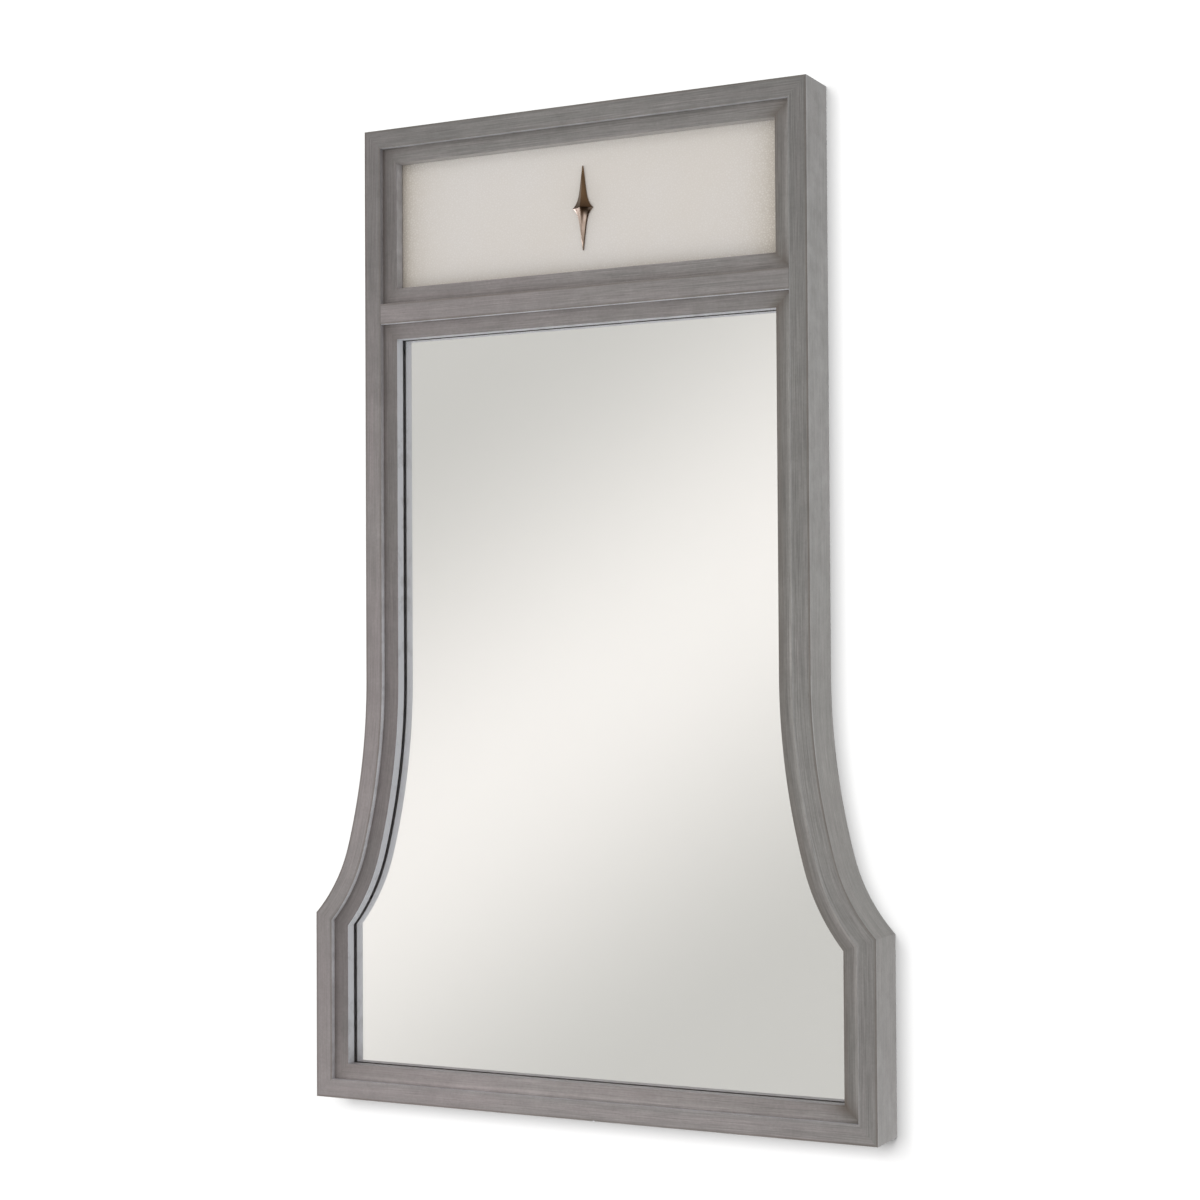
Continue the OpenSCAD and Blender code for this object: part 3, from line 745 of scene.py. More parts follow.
def silver_finish():
    """Silver behind the glass."""
    def build(tree):
        haze = noise(tree, coordinates(tree), 3.0, 2.0)
        return {"Base Color": mix(tree, haze, (0.925, 0.908, 0.925, 1), (0.935, 0.918, 0.935, 1))}
    return material("Silvering", {"Metallic": 1.0, "Roughness": 0.0}, build)


def fibreboard_finish(colours):
    """Brown fibreboard: matted fibres in every direction on a mottled ground."""
    def build(tree):
        place = coordinates(tree)
        spots = use(tree, "Speckle", {"Vector": place, "Scale": 240.0})
        level, upright = (drawn_out(tree, place, scale) for scale in ((90, 90, 700), (700, 90, 90)))
        fibres = maths(tree, "MAXIMUM", level, upright)
        tone = mix(tree, spots["Coarse"], rgba(colours.backing, 0.62), rgba(colours.backing))
        tone = mix(tree, remap(tree, fibres, 0.55, 0.75), tone, rgba(colours.backing, 1.35))
        return {"Base Color": tone, "Normal": bump(tree, fibres, 0.0001, 0.6),
                "Roughness": remap(tree, spots["Fine"], 0, 1, 0.6, 0.8)}
    return material("Fibreboard", {}, build)


def bare_wood_finish(colours, name, mapped=False):
    """Bare planed wood, its grain along x, or along the piece's own map."""
    def build(tree):
        place = grain_map(tree) if mapped else coordinates(tree)
        grain = use(tree, "Wood grain", {"Vector": place})
        rings = add(tree, "ShaderNodeTexWave", {
            "Vector": stretched(tree, place, (1.2, 26, 26)), "Scale": 1.0, "Distortion": 6.0,
            "Detail": 2.0, "Detail Scale": 1.2}, bands_direction="Y").outputs["Fac"]
        dark = rgba(colours.raw_wood, 0.66)
        tone = mix(tree, rings, rgba(colours.raw_wood), rgba(colours.raw_wood, 1.18))
        tone = mix(tree, times(tree, grain["Streaks"], 0.45), tone, dark)
        tone = mix(tree, times(tree, grain["Pores"], 0.6), tone, dark)
        return {"Base Color": tone, "Roughness": remap(tree, grain["Streaks"], 0, 1, 0.55, 0.72),
                "Normal": bump(tree, grain["Streaks"], 0.0001, 0.5)}
    return material(name, {}, build)


def plated_finish():
    """Bright zinc plate with soft spangle."""
    def build(tree):
        spots = use(tree, "Speckle", {"Vector": coordinates(tree), "Scale": 700.0})
        tone = mix(tree, spots["Coarse"], (0.52, 0.53, 0.55, 1), (0.68, 0.69, 0.69, 1))
        return {"Base Color": tone, "Roughness": remap(tree, spots["Fine"], 0, 1, 0.28, 0.42),
                "Normal": bump(tree, spots["Fine"], 0.00002, 0.4)}
    return material("Zinc plate", {"Metallic": 1.0}, build)


def extruded_finish():
    """Mill-finish aluminium with die lines along its length."""
    def build(tree):
        place = coordinates(tree)
        lines = drawn_out(tree, place, (1.5, 2600, 2600))
        spots = use(tree, "Speckle", {"Vector": place, "Scale": 300.0})
        tone = mix(tree, remap(tree, lines, 0.3, 0.7), (0.66, 0.67, 0.68, 1), (0.78, 0.79, 0.80, 1))
        return {"Base Color": tone, "Roughness": remap(tree, spots["Coarse"], 0, 1, 0.3, 0.45),
                "Normal": bump(tree, lines, 0.00004, 0.5)}
    return material("Extruded aluminium", {"Metallic": 1.0}, build)


def rubber_finish():
    """Dense black rubber with a dull bloom."""
    def build(tree):
        spots = use(tree, "Speckle", {"Vector": coordinates(tree), "Scale": 500.0})
        return {"Base Color": mix(tree, spots["Coarse"], (0.03, 0.03, 0.03, 1), (0.07, 0.07, 0.07, 1)),
                "Roughness": remap(tree, spots["Fine"], 0, 1, 0.65, 0.85)}
    return material("Black rubber", {}, build)


def stage_finish(name, shade):
    """Matt studio surface. It can be seen only from its front, so it never hides the part's back."""
    result = material(name, {"Base Color": rgba(shade), "Roughness": 0.9, "Specular IOR Level": 0.0})
    tree = result.node_tree
    behind = add(tree, "ShaderNodeNewGeometry").outputs["Backfacing"]
    matt = tree.nodes["Principled BSDF"].outputs[0]
    clear = add(tree, "ShaderNodeBsdfTransparent").outputs[0]
    blend = add(tree, "ShaderNodeMixShader", {0: behind, 1: matt, 2: clear}).outputs[0]
    tree.links.new(blend, tree.nodes["Material Output"].inputs["Surface"])
    return result


# Operators


def sizes_of(context):
    """The part's sizes."""
    return context.scene.wall_mirror_sizes


def colours_of(context):
    """The part's colours."""
    return context.scene.wall_mirror_colours


class WALLMIRROR_OT_boards(bpy.types.Operator):
    """Builds the nine boards of the outer frame, with eased arrises and mitred ends"""

    bl_idname = "wallmirror.boards"
    bl_label = "Boards"

    def execute(self, context):
        sizes = sizes_of(context)
        finish = glazed_wood(colours_of(context))
        radii = (sizes.arris, sizes.arris, 0.5 * MM, 0.5 * MM)
        insets, depths = (0.0, FACE_W), (FRONT, 0.0)
        shoulder, inner_shoulder = shoulder_z(sizes, 0.0), shoulder_z(sizes, FACE_W)
        top = straight_path((-TOP_HALF, TOP), (TOP_HALF, TOP),
                            (-STILE_X, INNER_TOP), (STILE_X, INNER_TOP), insets)
        foot = straight_path((-BASE_HALF, BOTTOM), (BASE_HALF, BOTTOM),
                             (-BASE_X, INNER_LOW), (BASE_X, INNER_LOW), insets)
        stile = straight_path((TOP_HALF, TOP), (TOP_HALF, STRAIGHT_LOW),
                              (STILE_X, INNER_TOP), (STILE_X, STRAIGHT_LOW), insets)
        base = straight_path((BASE_HALF, shoulder), (BASE_HALF, BOTTOM),
                             (BASE_X, inner_shoulder), (BASE_X, INNER_LOW), insets)
        flare = flare_path(sizes)
        # Along each board: tone, partly painted light, cast and painted light on the side, then the
        # painted light on the step, the dark line of glaze and painted shade by the inner arris and the
        # painted highlight by the outer one. Boards in one line share a grain that runs on from one
        # to the next
        plan = [
            ("top_rail", top, False, LONG,
             ((0.68, 0.76, 0.81, 0.75, 0.70), (0.35, 0.0), (0.12, 0.12)), (0.52, 0.45, 0)),
            ("bottom_rail", foot, False, LONG,
             ((1.04, 1.08, 1.03, 1.04, 0.90), (1.0, 0.5), (0.08, 0.08)), (0.4, 0.2, 0)),
            ("left_stile", stile, True, LONG,
             ((0.66, 0.70, 0.87, 0.96, 0.93), (0.6, 0.9), (0.12, 0.05)),
             ((0.12, 0.10, 0.28, 0.54, 0.88), 0.6, 0)),
            ("left_flare", flare, True, CURVED,
             ((0.93, 1.0, 0.96), (0.9, 0.8), (0.05, 0.0, 0.03)), ((0.92, 0.85, 0.72), 0.6, 0)),
            ("left_base_stile", base, True, SHORT,
             ((0.95, 0.96, 1.02), (0.9, 1.0), (0.05, 0.08)), ((0.70, 0.52, 0.42), 0.7, 0)),
            ("right_stile", stile, False, LONG,
             ((0.67, 0.71, 0.77, 0.80, 0.85), (0.0, 0.0), (0.13, 0.13, 0.12, 0.04)), (0.4, 0.1, 0)),
            ("right_flare", flare, False, CURVED,
             ((0.85, 0.92, 0.85), (0.0, 0.1), (0.04, 0.0, 0.03)), (0.4, 0.1, (0.25, 0.35, 0.03, 0, 0))),
            ("right_base_stile", base, False, SHORT,
             ((0.84, 0.76, 0.86), (0.1, 0.4), (0.055, 0.14)), ((0.25, 0.12, 0.05), 0.1, 0)),
        ]
        along = 0.0
        for node, path, mirror, rows, look, marks in plan:
            begin = (along, LEFT_BOARDS if mirror else 0.0)
            mesh, length_of = bar(node, path, insets, depths, radii, rows, look, marks, mirror, start=begin)
            along += length_of + (BOARD_GAP if path in (top, foot, base) else 0.0)
            piece("glazed_" + node, mesh, finish, node)
        insets, depths = (0.0, MID_HIGH - MID_LOW), (FRONT, MID_BACK)
        middle = straight_path((-STILE_X, MID_HIGH), (STILE_X, MID_HIGH),
                               (-STILE_X, MID_LOW), (STILE_X, MID_LOW), insets)
        # The same look and marks as the boards above, with their painted light and shade
        look, marks = ((0.94, 0.95, 0.92, 0.82), (0.9, 0.4), (0.2, 0.2)), (1.1, 0.65, 0)
        begin = (along, MIDDLE_BOARD)
        mesh, _ = bar("middle_rail", middle, insets, depths, radii, LONG, look, marks, start=begin)
        piece("glazed_middle_rail", mesh, finish, "middle_rail")
        return {"FINISHED"}


class WALLMIRROR_OT_liners(bpy.types.Operator):
    """Builds the twelve liners round the leather and the glass"""

    bl_idname = "wallmirror.liners"
    bl_label = "Liners"

    def execute(self, context):
        sizes = sizes_of(context)
        w = LINER_W
        finish = bpy.data.materials["Grey glazed wood"]
        insets, depths = (FACE_W, BAND), (LINER_FRONT, SEAT - 0.05 * MM)
        radii = (0.05 * MM, sizes.liner_arris, 0.3 * MM, 0.05 * MM)
        shoulder, inner_shoulder = shoulder_z(sizes, FACE_W), shoulder_z(sizes, BAND)

        def level(z, rise, half):
            """A path from left to right, whose inner edge lies above its outer one, or below."""
            return straight_path((-half, z), (half, z),
                                 (-half + w, z + rise * w), (half - w, z + rise * w), insets)

        def upright(x, z_top, z_low, top_mitre, low_mitre):
            """A path from the top down, mitred where its mark is 1."""
            return straight_path((x, z_top), (x, z_low),
                                 (x - w, z_top - top_mitre * w), (x - w, z_low + low_mitre * w), insets)

        base = straight_path((BASE_X, shoulder), (BASE_X, INNER_LOW),
                             (BASE_X - w, inner_shoulder), (BASE_X - w, BOTTOM + BAND), insets)
        panel_side = upright(STILE_X, INNER_TOP, MID_HIGH, 1, 1)
        side = upright(STILE_X, MID_LOW, STRAIGHT_LOW, 1, 0)
        flare = flare_path(sizes)
        # Where two liners meet: tone, partly painted light, cast, the painted shade near the step and far
        # from it, and the painted light of the paler strip
        panel_tl, panel_tr = (0.76, 0.55, 0.3, 0, 0), (0.83, 0, 0.1, 0.35, 0.35)
        panel_bl, panel_br = (0.82, 0.8, 0.36, 0, 0), (0.87, 0.15, 0.15, 0.35, 0.35)
        mirror_tl, mirror_tr = (0.82, 0.75, 0.22, 0, 0), (0.855, 0.2, 0.02, 0.35, 0.3)
        mirror_bl, mirror_br = (1.0, 0.95, 0.12, 0.15, 0.15), (0.88, 0.4, 0, 0.42, 0.5)
        # Along each liner: tone, partly painted light, cast and painted light on the inner wall, then the
        # painted shade near the step and far from it, and the painted light of the paler strip and wall.
        # Last, how much darker each end grows, and what each end meets
        plan = [
            ("panel_liner_top", level(INNER_TOP, -1, STILE_X), False, LONG,
             ((0.87, 0.87), (0.4, 0.0), (0.0, 0.0)), (0.17, 0, 0, 0.6), (0.1, 0.5), (panel_tl, panel_tr)),
            ("panel_liner_bottom", level(MID_HIGH, 1, STILE_X), False, LONG,
             ((0.97, 0.94), (0.9, 0.3), (0.2, 0.2)), (0.3, 0, 0, 0), (0.1, 0.5), (panel_bl, panel_br)),
            ("panel_liner_right", panel_side, False, SHORT,
             ((0.80, 0.80), (0.0, 0.0), (0.25, 0.25)), (0, 0.6, 0.62, 0), (0.5, 0.5), (panel_tr, panel_br)),
            ("panel_liner_left", panel_side, True, SHORT,
             ((0.66, 0.66), (0.7, 0.7), (0.33, 0.33)), (0.42, 0, 0, 0.12), (0.1, 0.1),
             (panel_tl, panel_bl)),
            ("mirror_liner_top", level(MID_LOW, -1, STILE_X), False, LONG,
             ((0.94, 0.88), (0.9, 0.4), (1.1, 1.1)), (0.03, 0, 0, 0), (0.2, 0.5), (mirror_tl, mirror_tr)),
            ("mirror_liner_bottom", level(INNER_LOW, 1, BASE_X), False, LONG,
             ((1.07, 1.2, 1.2, 1.17, 0.96), (1, 0.6), (0.15, 0.15)),
             (0, (0.3, 0, 0.12, 0.2, 0.25), 0.35, 0), (0.1, 0.6), (mirror_bl, mirror_br)),
            ("left_stile_liner", side, True, LONG,
             ((0.70, 0.75), (0.6, 0.8), (1.25, 1.35)), ((0.42, 0.3, 0.12), 0, 0, 0), (0.2, 0),
             (mirror_tl, None)),
            ("left_flare_liner", flare, True, CURVED,
             ((0.75, 0.67), (0.8, 0.9), (1.35, 1.3)), ((0.1, 0.05, 0.15), 0, 0, 0), (0, 0), (None, None)),
            ("left_base_liner", base, True, SHORT,
             ((0.66, 0.67, 0.69, 0.73, 0.93), (0.9, 0.9), (1.3, 1.1)), ((0.2, 0.25), 0, 0, 0), (0, 0.1),
             (None, mirror_bl)),
            ("right_stile_liner", side, False, LONG,
             ((0.83, 0.85), (0.0, 0.0), (0.7, 0.7)), (0, 0.66, (0.55, 0.62, 0.85), 0), (0.5, 0),
             (mirror_tr, None)),
            ("right_flare_liner", flare, False, CURVED,
             ((0.85, 0.86), (0.0, 0.1), (0.7, 0.7)), (0, 0.6, 0.62, 0), (0, 0), (None, None)),
            ("right_base_liner", base, False, SHORT,
             ((0.85, 0.80), (0.1, 0.2), (0.7, 0.7)), (0, 0.6, 0.62, 0), (0, 0.6), (None, mirror_br)),
        ]
        along = LINER_START
        for node, path, mirror, rows, look, marks, ends, meets in plan:
            begin = (along, LEFT_LINERS if mirror else RIGHT_LINERS)
            mesh, length_of = bar(node, path, insets, depths, radii, rows, look, marks, mirror, ends,
                                  begin, meets)
            along += length_of + (0.0 if path in (side, flare) else LINER_GAP)
            piece("glazed_" + node, mesh, finish, node)
        return {"FINISHED"}


def outline_half(sizes, inset, z):
    """Half the width of the mirror's plate at a height, an inset inside the outline.

    Above the flare it is the stile's place. Down the flare it is the circle's own equation, solved for x
    about the upper centre and then the lower one, and below the shoulder it is the base's place.
    """
    upper, lower = flare_centres(sizes)
    r1, r2 = sizes.upper_radius + inset, sizes.lower_radius + inset
    meet = upper[1] - r1 * math.sin(sizes.flare_turn)
    x1 = upper[0] - np.sqrt(np.clip(r1 ** 2 - (z - upper[1]) ** 2, 0, None))
    x2 = lower[0] - np.sqrt(np.clip(r2 ** 2 - (z - lower[1]) ** 2, 0, None))
    half = np.where(z >= STRAIGHT_LOW, TOP_HALF - inset, np.where(z >= meet, x1, x2))
    return np.where(z <= shoulder_z(sizes, inset), BASE_HALF - inset, np.minimum(half, BASE_HALF - inset))


def plate(name, sizes, inset, y0, y1, z_top):
    """A flat plate that follows the flare: rows at rising heights, each a rectangle of width and depth."""
    shoulder = float(shoulder_z(sizes, inset))
    heights = [np.linspace(BOTTOM + inset, shoulder, 6), np.linspace(shoulder, STRAIGHT_LOW, PLATE_ROWS)[1:],
               np.linspace(STRAIGHT_LOW, z_top, 8)[1:]]
    z = np.concatenate(heights)
    half = outline_half(sizes, inset, z)
    x = np.stack([-half, half, half, -half], axis=1)
    y = np.broadcast_to([y0, y0, y1, y1], x.shape)
    return skin(name, np.stack([x, y, np.broadcast_to(z[:, None], x.shape)], axis=-1))


class WALLMIRROR_OT_mirror(bpy.types.Operator):
    """Builds the glass and its silver, a hair apart so that each has its own surface"""

    bl_idname = "wallmirror.mirror"
    bl_label = "Mirror glass"

    def execute(self, context):
        sizes = sizes_of(context)
        inset = BASE_HALF - high("mirror_glass", 0)
        top = high("mirror_glass", 2)
        back = high("mirror_glass", 1)
        mesh = plate("mirror_glass", sizes, inset, SEAT, back - 0.02 * MM, top)
        piece("clear_glass_plate", mesh, glass_finish(), "mirror_glass")
        mesh = plate("silver_coating", sizes, inset, back, high("silver_coating", 1), top)
        piece("silvered_back", mesh, silver_finish(), "silver_coating")
        return {"FINISHED"}


class WALLMIRROR_OT_leather(bpy.types.Operator):
    """Builds the leather that covers the panel and turns over its back"""

    bl_idname = "wallmirror.leather"
    bl_label = "Leather cover"

    def execute(self, context):
        dip = sizes_of(context).leather_dip
        lo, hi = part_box("leather_cover")
        half_x, half_z = (hi.x - lo.x) / 2, (hi.z - lo.z) / 2
        mid_z = (hi.z + lo.z) / 2
        # Thickness of the leather, radius of its bends, width turned in behind, and the stud's hole
        thick, bend, turn_in, hole = 1.4 * MM, 2.2 * MM, 25 * MM, 3.3 * MM
        # How far inside the edge the dip begins, and the outermost loop of the spread from the hole
        reach = LINER_W + 16 * MM
        first = reach + 12 * MM
        # Once round the panel, from -1 to 1 across and up, in even steps along each side
        side_x = np.linspace(-1, 1, 72, endpoint=False)
        side_z = np.linspace(-1, 1, 24, endpoint=False)
        one = np.ones_like
        edge = np.concatenate([
            np.stack([side_x, -one(side_x)], 1), np.stack([one(side_z), side_z], 1),
            np.stack([-side_x, one(side_x)], 1), np.stack([-one(side_z), -side_z], 1)])
        corner = np.array([half_x, half_z])

        def at(inset, y, share=1.0):
            """The loop an inset inside the panel's edge, at a depth, or a share of the way to it.

            A share below 1 blends that loop with a circle of the hole's radius.
            """
            start = edge / np.linalg.norm(edge, axis=1)[:, None] * hole
            loop = start * (1 - share) + edge * (corner - inset) * share
            return np.stack([loop[:, 0], np.full(len(loop), y), loop[:, 1] + mid_z], axis=1)

        turn = np.linspace(0, math.pi / 2, 6)
        y_edge = lo.y + dip
        rows = [at(first, lo.y, share) for share in np.linspace(0, 1, 12)[:-1]]
        rows += [at(d, lo.y + dip * ramp(reach - d, reach - LINER_W) ** 2)
                 for d in np.linspace(first, bend, 18)]
        rows += [at(bend - bend * math.sin(t), y_edge + bend - bend * math.cos(t)) for t in turn[1:]]
        rows += [at(bend - bend * math.cos(t), hi.y - bend + bend * math.sin(t)) for t in turn]
        rows += [at(turn_in, hi.y), at(turn_in + 0.3 * MM, hi.y - 0.4 * MM), at(turn_in, hi.y - thick)]
        rows += [at(thick, hi.y - thick), at(thick, y_edge + thick), at(first, lo.y + thick)]
        rows += [at(first, lo.y + thick, share) for share in (0.66, 0.33, 0.0)]
        rings = np.stack(rows)
        # Painted shade towards the sides and the foot, deeper to the right and low down, and painted light
        # under the top
        sides = half_x - np.abs(rings[..., 0]) - LINER_W
        foot = rings[..., 2] - mid_z + half_z - LINER_W
        height = 2 * (half_z - LINER_W)
        right = rings[..., 0] > 0
        deeper = 0.34 * (1 - ramp(foot, height)) * right
        shade = np.maximum((0.6 + deeper) * fade(sides, 19 + 4 * right), 0.3 * fade(foot, 5))
        pale = fade(height - foot, 12) * (1 - fade(sides, 12))
        mesh = skin("leather_cover", rings, closed=True, masks={"edge": shade, "pale": pale})
        finish = leather_finish(colours_of(context))
        cover = piece("leather_panel_cover", mesh, finish, "leather_cover")
        return {"FINISHED"}


class WALLMIRROR_OT_star(bpy.types.Operator):
    """Builds the star boss with its ridges and stud"""

    bl_idname = "wallmirror.star"
    bl_label = "Star boss"

    def execute(self, context):
        lo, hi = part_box("star_boss")
        half_h, half_w = (hi.z - lo.z) / 2, (hi.x - lo.x) / 2
        rim, tip = 2.5 * MM, 0.3 * MM
        rise = SEAT - lo.y
        # Rows from the lower point to the upper one, closer together in the middle: s is the share of the
        # half height, u its size. Each row is a ridge with a facet on either side, and a flat back. Half of
        # the width falls evenly towards the points and half as the eighth power of what u leaves of 1, and
        # the ridge falls as its power of 1.4
        t = np.linspace(-1, 1, STAR_ROWS)
        s = np.sign(t) * np.abs(t) ** 1.5
        u = np.abs(s)
        width = tip + (half_w - tip) * (0.5 * (1 - u) + 0.5 * (1 - u) ** 8)
        ridge = rim + (rise - rim) * (1 - u) ** 1.4
        across = np.linspace(-1, 1, 41)
        lift = rim + (ridge[:, None] - rim) * (1 - np.abs(across)) ** 1.12
        x = np.concatenate([width[:, None] * across, width[:, None] * [1, -1]], axis=1)
        y = np.concatenate([SEAT - lift, np.full((len(t), 2), SEAT)], axis=1)
        z = np.broadcast_to((PANEL_MID + s * half_h)[:, None], x.shape)
        # Painted dark reflection: dark over the middle, down the ridge below it, along the lower right edge
        # and above the middle
        u = u[:, None]
        below = ramp(-s[:, None] - 0.004, 0.02)
        strip = below * np.exp(-((across - 0.2) / 0.18) ** 2 - (u / 0.36) ** 4)
        middle = np.exp(-u / 0.1) * ramp(across + 0.1, 0.1) * ramp(0.85 - across, 0.3)
        rim_line = 0.9 * below * (across > 0.86) * ramp(u - 0.05, 0.05)
        above = 0.85 * np.exp(-u / 0.2) * (1 - below)
        dark = np.maximum(np.maximum(strip, middle), np.maximum(rim_line, above))
        # Painted highlight: the lower left facet most of all, a patch on the lower right one, and its tip
        left = ramp(0.04 - across, 0.08) * (0.42 + 0.58 * np.exp(-(u / 0.32) ** 2))
        patch = 0.4 * np.exp(-((across - 0.6) / 0.2) ** 2 - ((u - 0.21) / 0.1) ** 2)
        right = ramp(across, 0.12) * (0.42 * ramp(u - 0.06, 0.2) + patch)
        point = 0.5 * np.exp(-((across - 0.85) / 0.16) ** 2 - (u / 0.07) ** 2)
        rub = below * np.maximum(np.maximum(left, right), point)
        rub = rub * (1 - 0.92 * strip) * (1 - rim_line) * (1 - 0.8 * middle)
        rub, dark = (np.concatenate([each, np.zeros((len(t), 2))], axis=1) for each in (rub, dark))
        star = skin("star_boss", np.stack([x, y, z], axis=-1), masks={"rub": rub, "dark": dark})
        star.set_sharp_from_angle(angle=STAR_SHARP)
        # The stud: a cylinder whose radius falls and rises once for each turn of its thread, and which is
        # plain for a while behind the star
        around = np.linspace(0, 2 * math.pi, 48, endpoint=False)
        depth = np.linspace(SEAT - 0.5 * MM, high("star_boss", 1), 90)[:, None]
        radius, groove, pitch, plain = 3.0 * MM, 0.45 * MM, 1.0 * MM, 14 * MM
        phase = (depth / pitch - around / (2 * math.pi)) % 1
        radius = radius - groove * (1 - np.abs(2 * phase - 1)) * (depth > SEAT + plain)
        stud = np.stack([radius * np.cos(around), np.broadcast_to(depth, radius.shape),
                         PANEL_MID + radius * np.sin(around)], axis=-1)
        stud = skin("stud", stud, masks={"rub": 0.0, "dark": 0.0})
        finish = bronze_finish(colours_of(context))
        piece("bronze_star", merged("bronze_star", [star, stud]), finish, "star_boss")
        return {"FINISHED"}


def eased_loop(corners, radius):
    """A loop of corners, each replaced by a quarter-like curve: a blend of the lines on its two sides.

    At a share t the point is (1 - t) squared of the arc's start, 2 t (1 - t) of the corner, t squared of
    its end.
    """
    corners = np.array(corners, float)
    before = np.roll(corners, 1, axis=0) - corners
    after = np.roll(corners, -1, axis=0) - corners
    before /= np.linalg.norm(before, axis=1)[:, None]
    after /= np.linalg.norm(after, axis=1)[:, None]
    r = np.broadcast_to(radius, len(corners))[:, None]
    t = np.linspace(0, 1, 5)[None, :, None]
    start, end, corner = (corners + before * r)[:, None], (corners + after * r)[:, None], corners[:, None]
    return (start * (1 - t) ** 2 + corner * 2 * t * (1 - t) + end * t ** 2).reshape(-1, 2)


def clip_sites(sizes):
    """Places of the angle clips: x, z, inward angle in degrees and the face that each presses on."""
    glass, panel = high("mirror_backing", 1), high("leather_cover", 1)
    foot, shoulder = INNER_LOW + CLIP_FROM_BLOCK, float(shoulder_z(sizes, FACE_W)) - CLIP_CLEAR
    base, rail = BASE_X - CLIP_FROM_BLOCK, STILE_X - CLIP_CLEAR

    def pairs(x, heights, face):
        """Clips on both sides at each height, right and left."""
        return [site for z in heights for site in ((x, z, 180, face), (-x, z, 0, face))]

    return [
        *pairs(STILE_X, np.linspace(STRAIGHT_LOW + CLIP_CLEAR, MID_LOW - CLIP_CLEAR, 3), glass),
        *pairs(BASE_X, (foot, shoulder), glass),
        *((x, INNER_LOW, 90, glass) for x in np.linspace(-base, base, 4)),
        *((x, MID_LOW, -90, glass) for x in np.linspace(-rail, rail, 3)),
        *pairs(STILE_X, (MID_HIGH + CLIP_FROM_RAIL, low("hanging_rail", 2) - CLIP_FROM_RAIL), panel),
        *((x, MID_HIGH, 90, panel) for x in (-STILE_X / 2, STILE_X / 2)),
    ]


def placed(local, site):
    """Local points, inwards, backwards and sideways, turned and moved to a clip's place."""
    x, z, angle, face = site
    c, s = math.cos(math.radians(angle)), math.sin(math.radians(angle))
    inward, back, side = local[..., 0], local[..., 1], local[..., 2]
    return np.stack([x + inward * c - side * s, face + back, z + inward * s + side * c], axis=-1)


def screw_rows(radius, height, recess, shank):
    """A screw with a pan head: rows of points from its shank's end to the middle of its recess.

    Each row of the head is a share of its radius and one of its height. In the recess the height also falls
    with the eighth power of the cosine of twice the angle, which leaves the four arms of a cross. The last
    row is level, as deep as the recess.
    """
    turn = np.linspace(0, 2 * math.pi, SCREW_ROUND, endpoint=False)
    arms = np.cos(2 * turn) ** 8
    plan = [(1.0, 0.0, 0), (1.0, 0.3, 0), (0.93, 0.72, 0), (0.76, 0.97, 0),
            (0.62, 1.0, 0), (0.58, 1.0, 0.55), (0.3, 0.98, 1.0)]
    rows = [(share, height * up - recess * depth * arms) for share, up, depth in plan]
    rows.append((0.1, np.full(SCREW_ROUND, height - recess)))
    head = np.stack([np.stack([radius * share * np.cos(turn), rise, radius * share * np.sin(turn)], axis=1)
                     for share, rise in rows])
    neck = head[0] * [0.5, 1, 0.5]
    return np.concatenate([[neck - [0, shank, 0], neck], head])


class WALLMIRROR_OT_clips(bpy.types.Operator):
    """Builds the bent angle clips, their screws and the screws of the frame's cleat"""

    bl_idname = "wallmirror.clips"
    bl_label = "Clips and screws"

    def execute(self, context):
        plated = plated_finish()
        sites = clip_sites(sizes_of(context))
        # The outline of the angle, then the radius that eases each of its corners
        leg, thick = CLIP_LEG, CLIP_THICK
        outline = eased_loop([(0, 0), (leg, 0), (leg, thick), (thick, thick), (thick, leg), (0, leg)],
                             np.array([2.6, 0.4, 0.6, 1.3, 0.6, 0.4]) * MM)
        # Across the clip's width: the two outermost rows are drawn in a little, which eases its long edges
        places = np.array([-0.5, -0.485, 0.485, 0.5]) * CLIP_WIDTH
        eased = np.array([0.25, 0.0, 0.0, 0.25]) * MM
        on_arm = np.where(outline[:, :1] > outline[:, 1:], [[0, 1]], [[1, 0]])
        inwards = -np.sign(outline - thick / 2) * on_arm
        local = np.stack([
            np.concatenate([outline + inwards * cut, np.full((len(outline), 1), place)], axis=1)
            for place, cut in zip(places, eased)])
        clips = [skin("clip", placed(local, site)) for site in sites]
        piece("steel_clips", merged("steel_clips", clips), plated, "retaining_clips")
        rows = screw_rows(*CLIP_SCREW)
        local = np.stack([thick + rows[..., 1], CLIP_HOLE + rows[..., 0], rows[..., 2]], axis=-1)
        screws = [skin("screw", placed(local, site)) for site in sites]
        piece("clip_screw_set", merged("clip_screw_set", screws), plated, "clip_screws")
        rows = screw_rows(*CLEAT_SCREW)
        lo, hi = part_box("frame_cleat_screws")
        span = hi.x - CLEAT_SCREW[0]
        seat, middle = hi.y - CLEAT_SCREW[1], (lo.z + hi.z) / 2
        screws = [skin("screw", rows + [x, seat, middle]) for x in np.linspace(-span, span, 4)]
        piece("cleat_screw_set", merged("cleat_screw_set", screws), plated, "frame_cleat_screws")
        return {"FINISHED"}


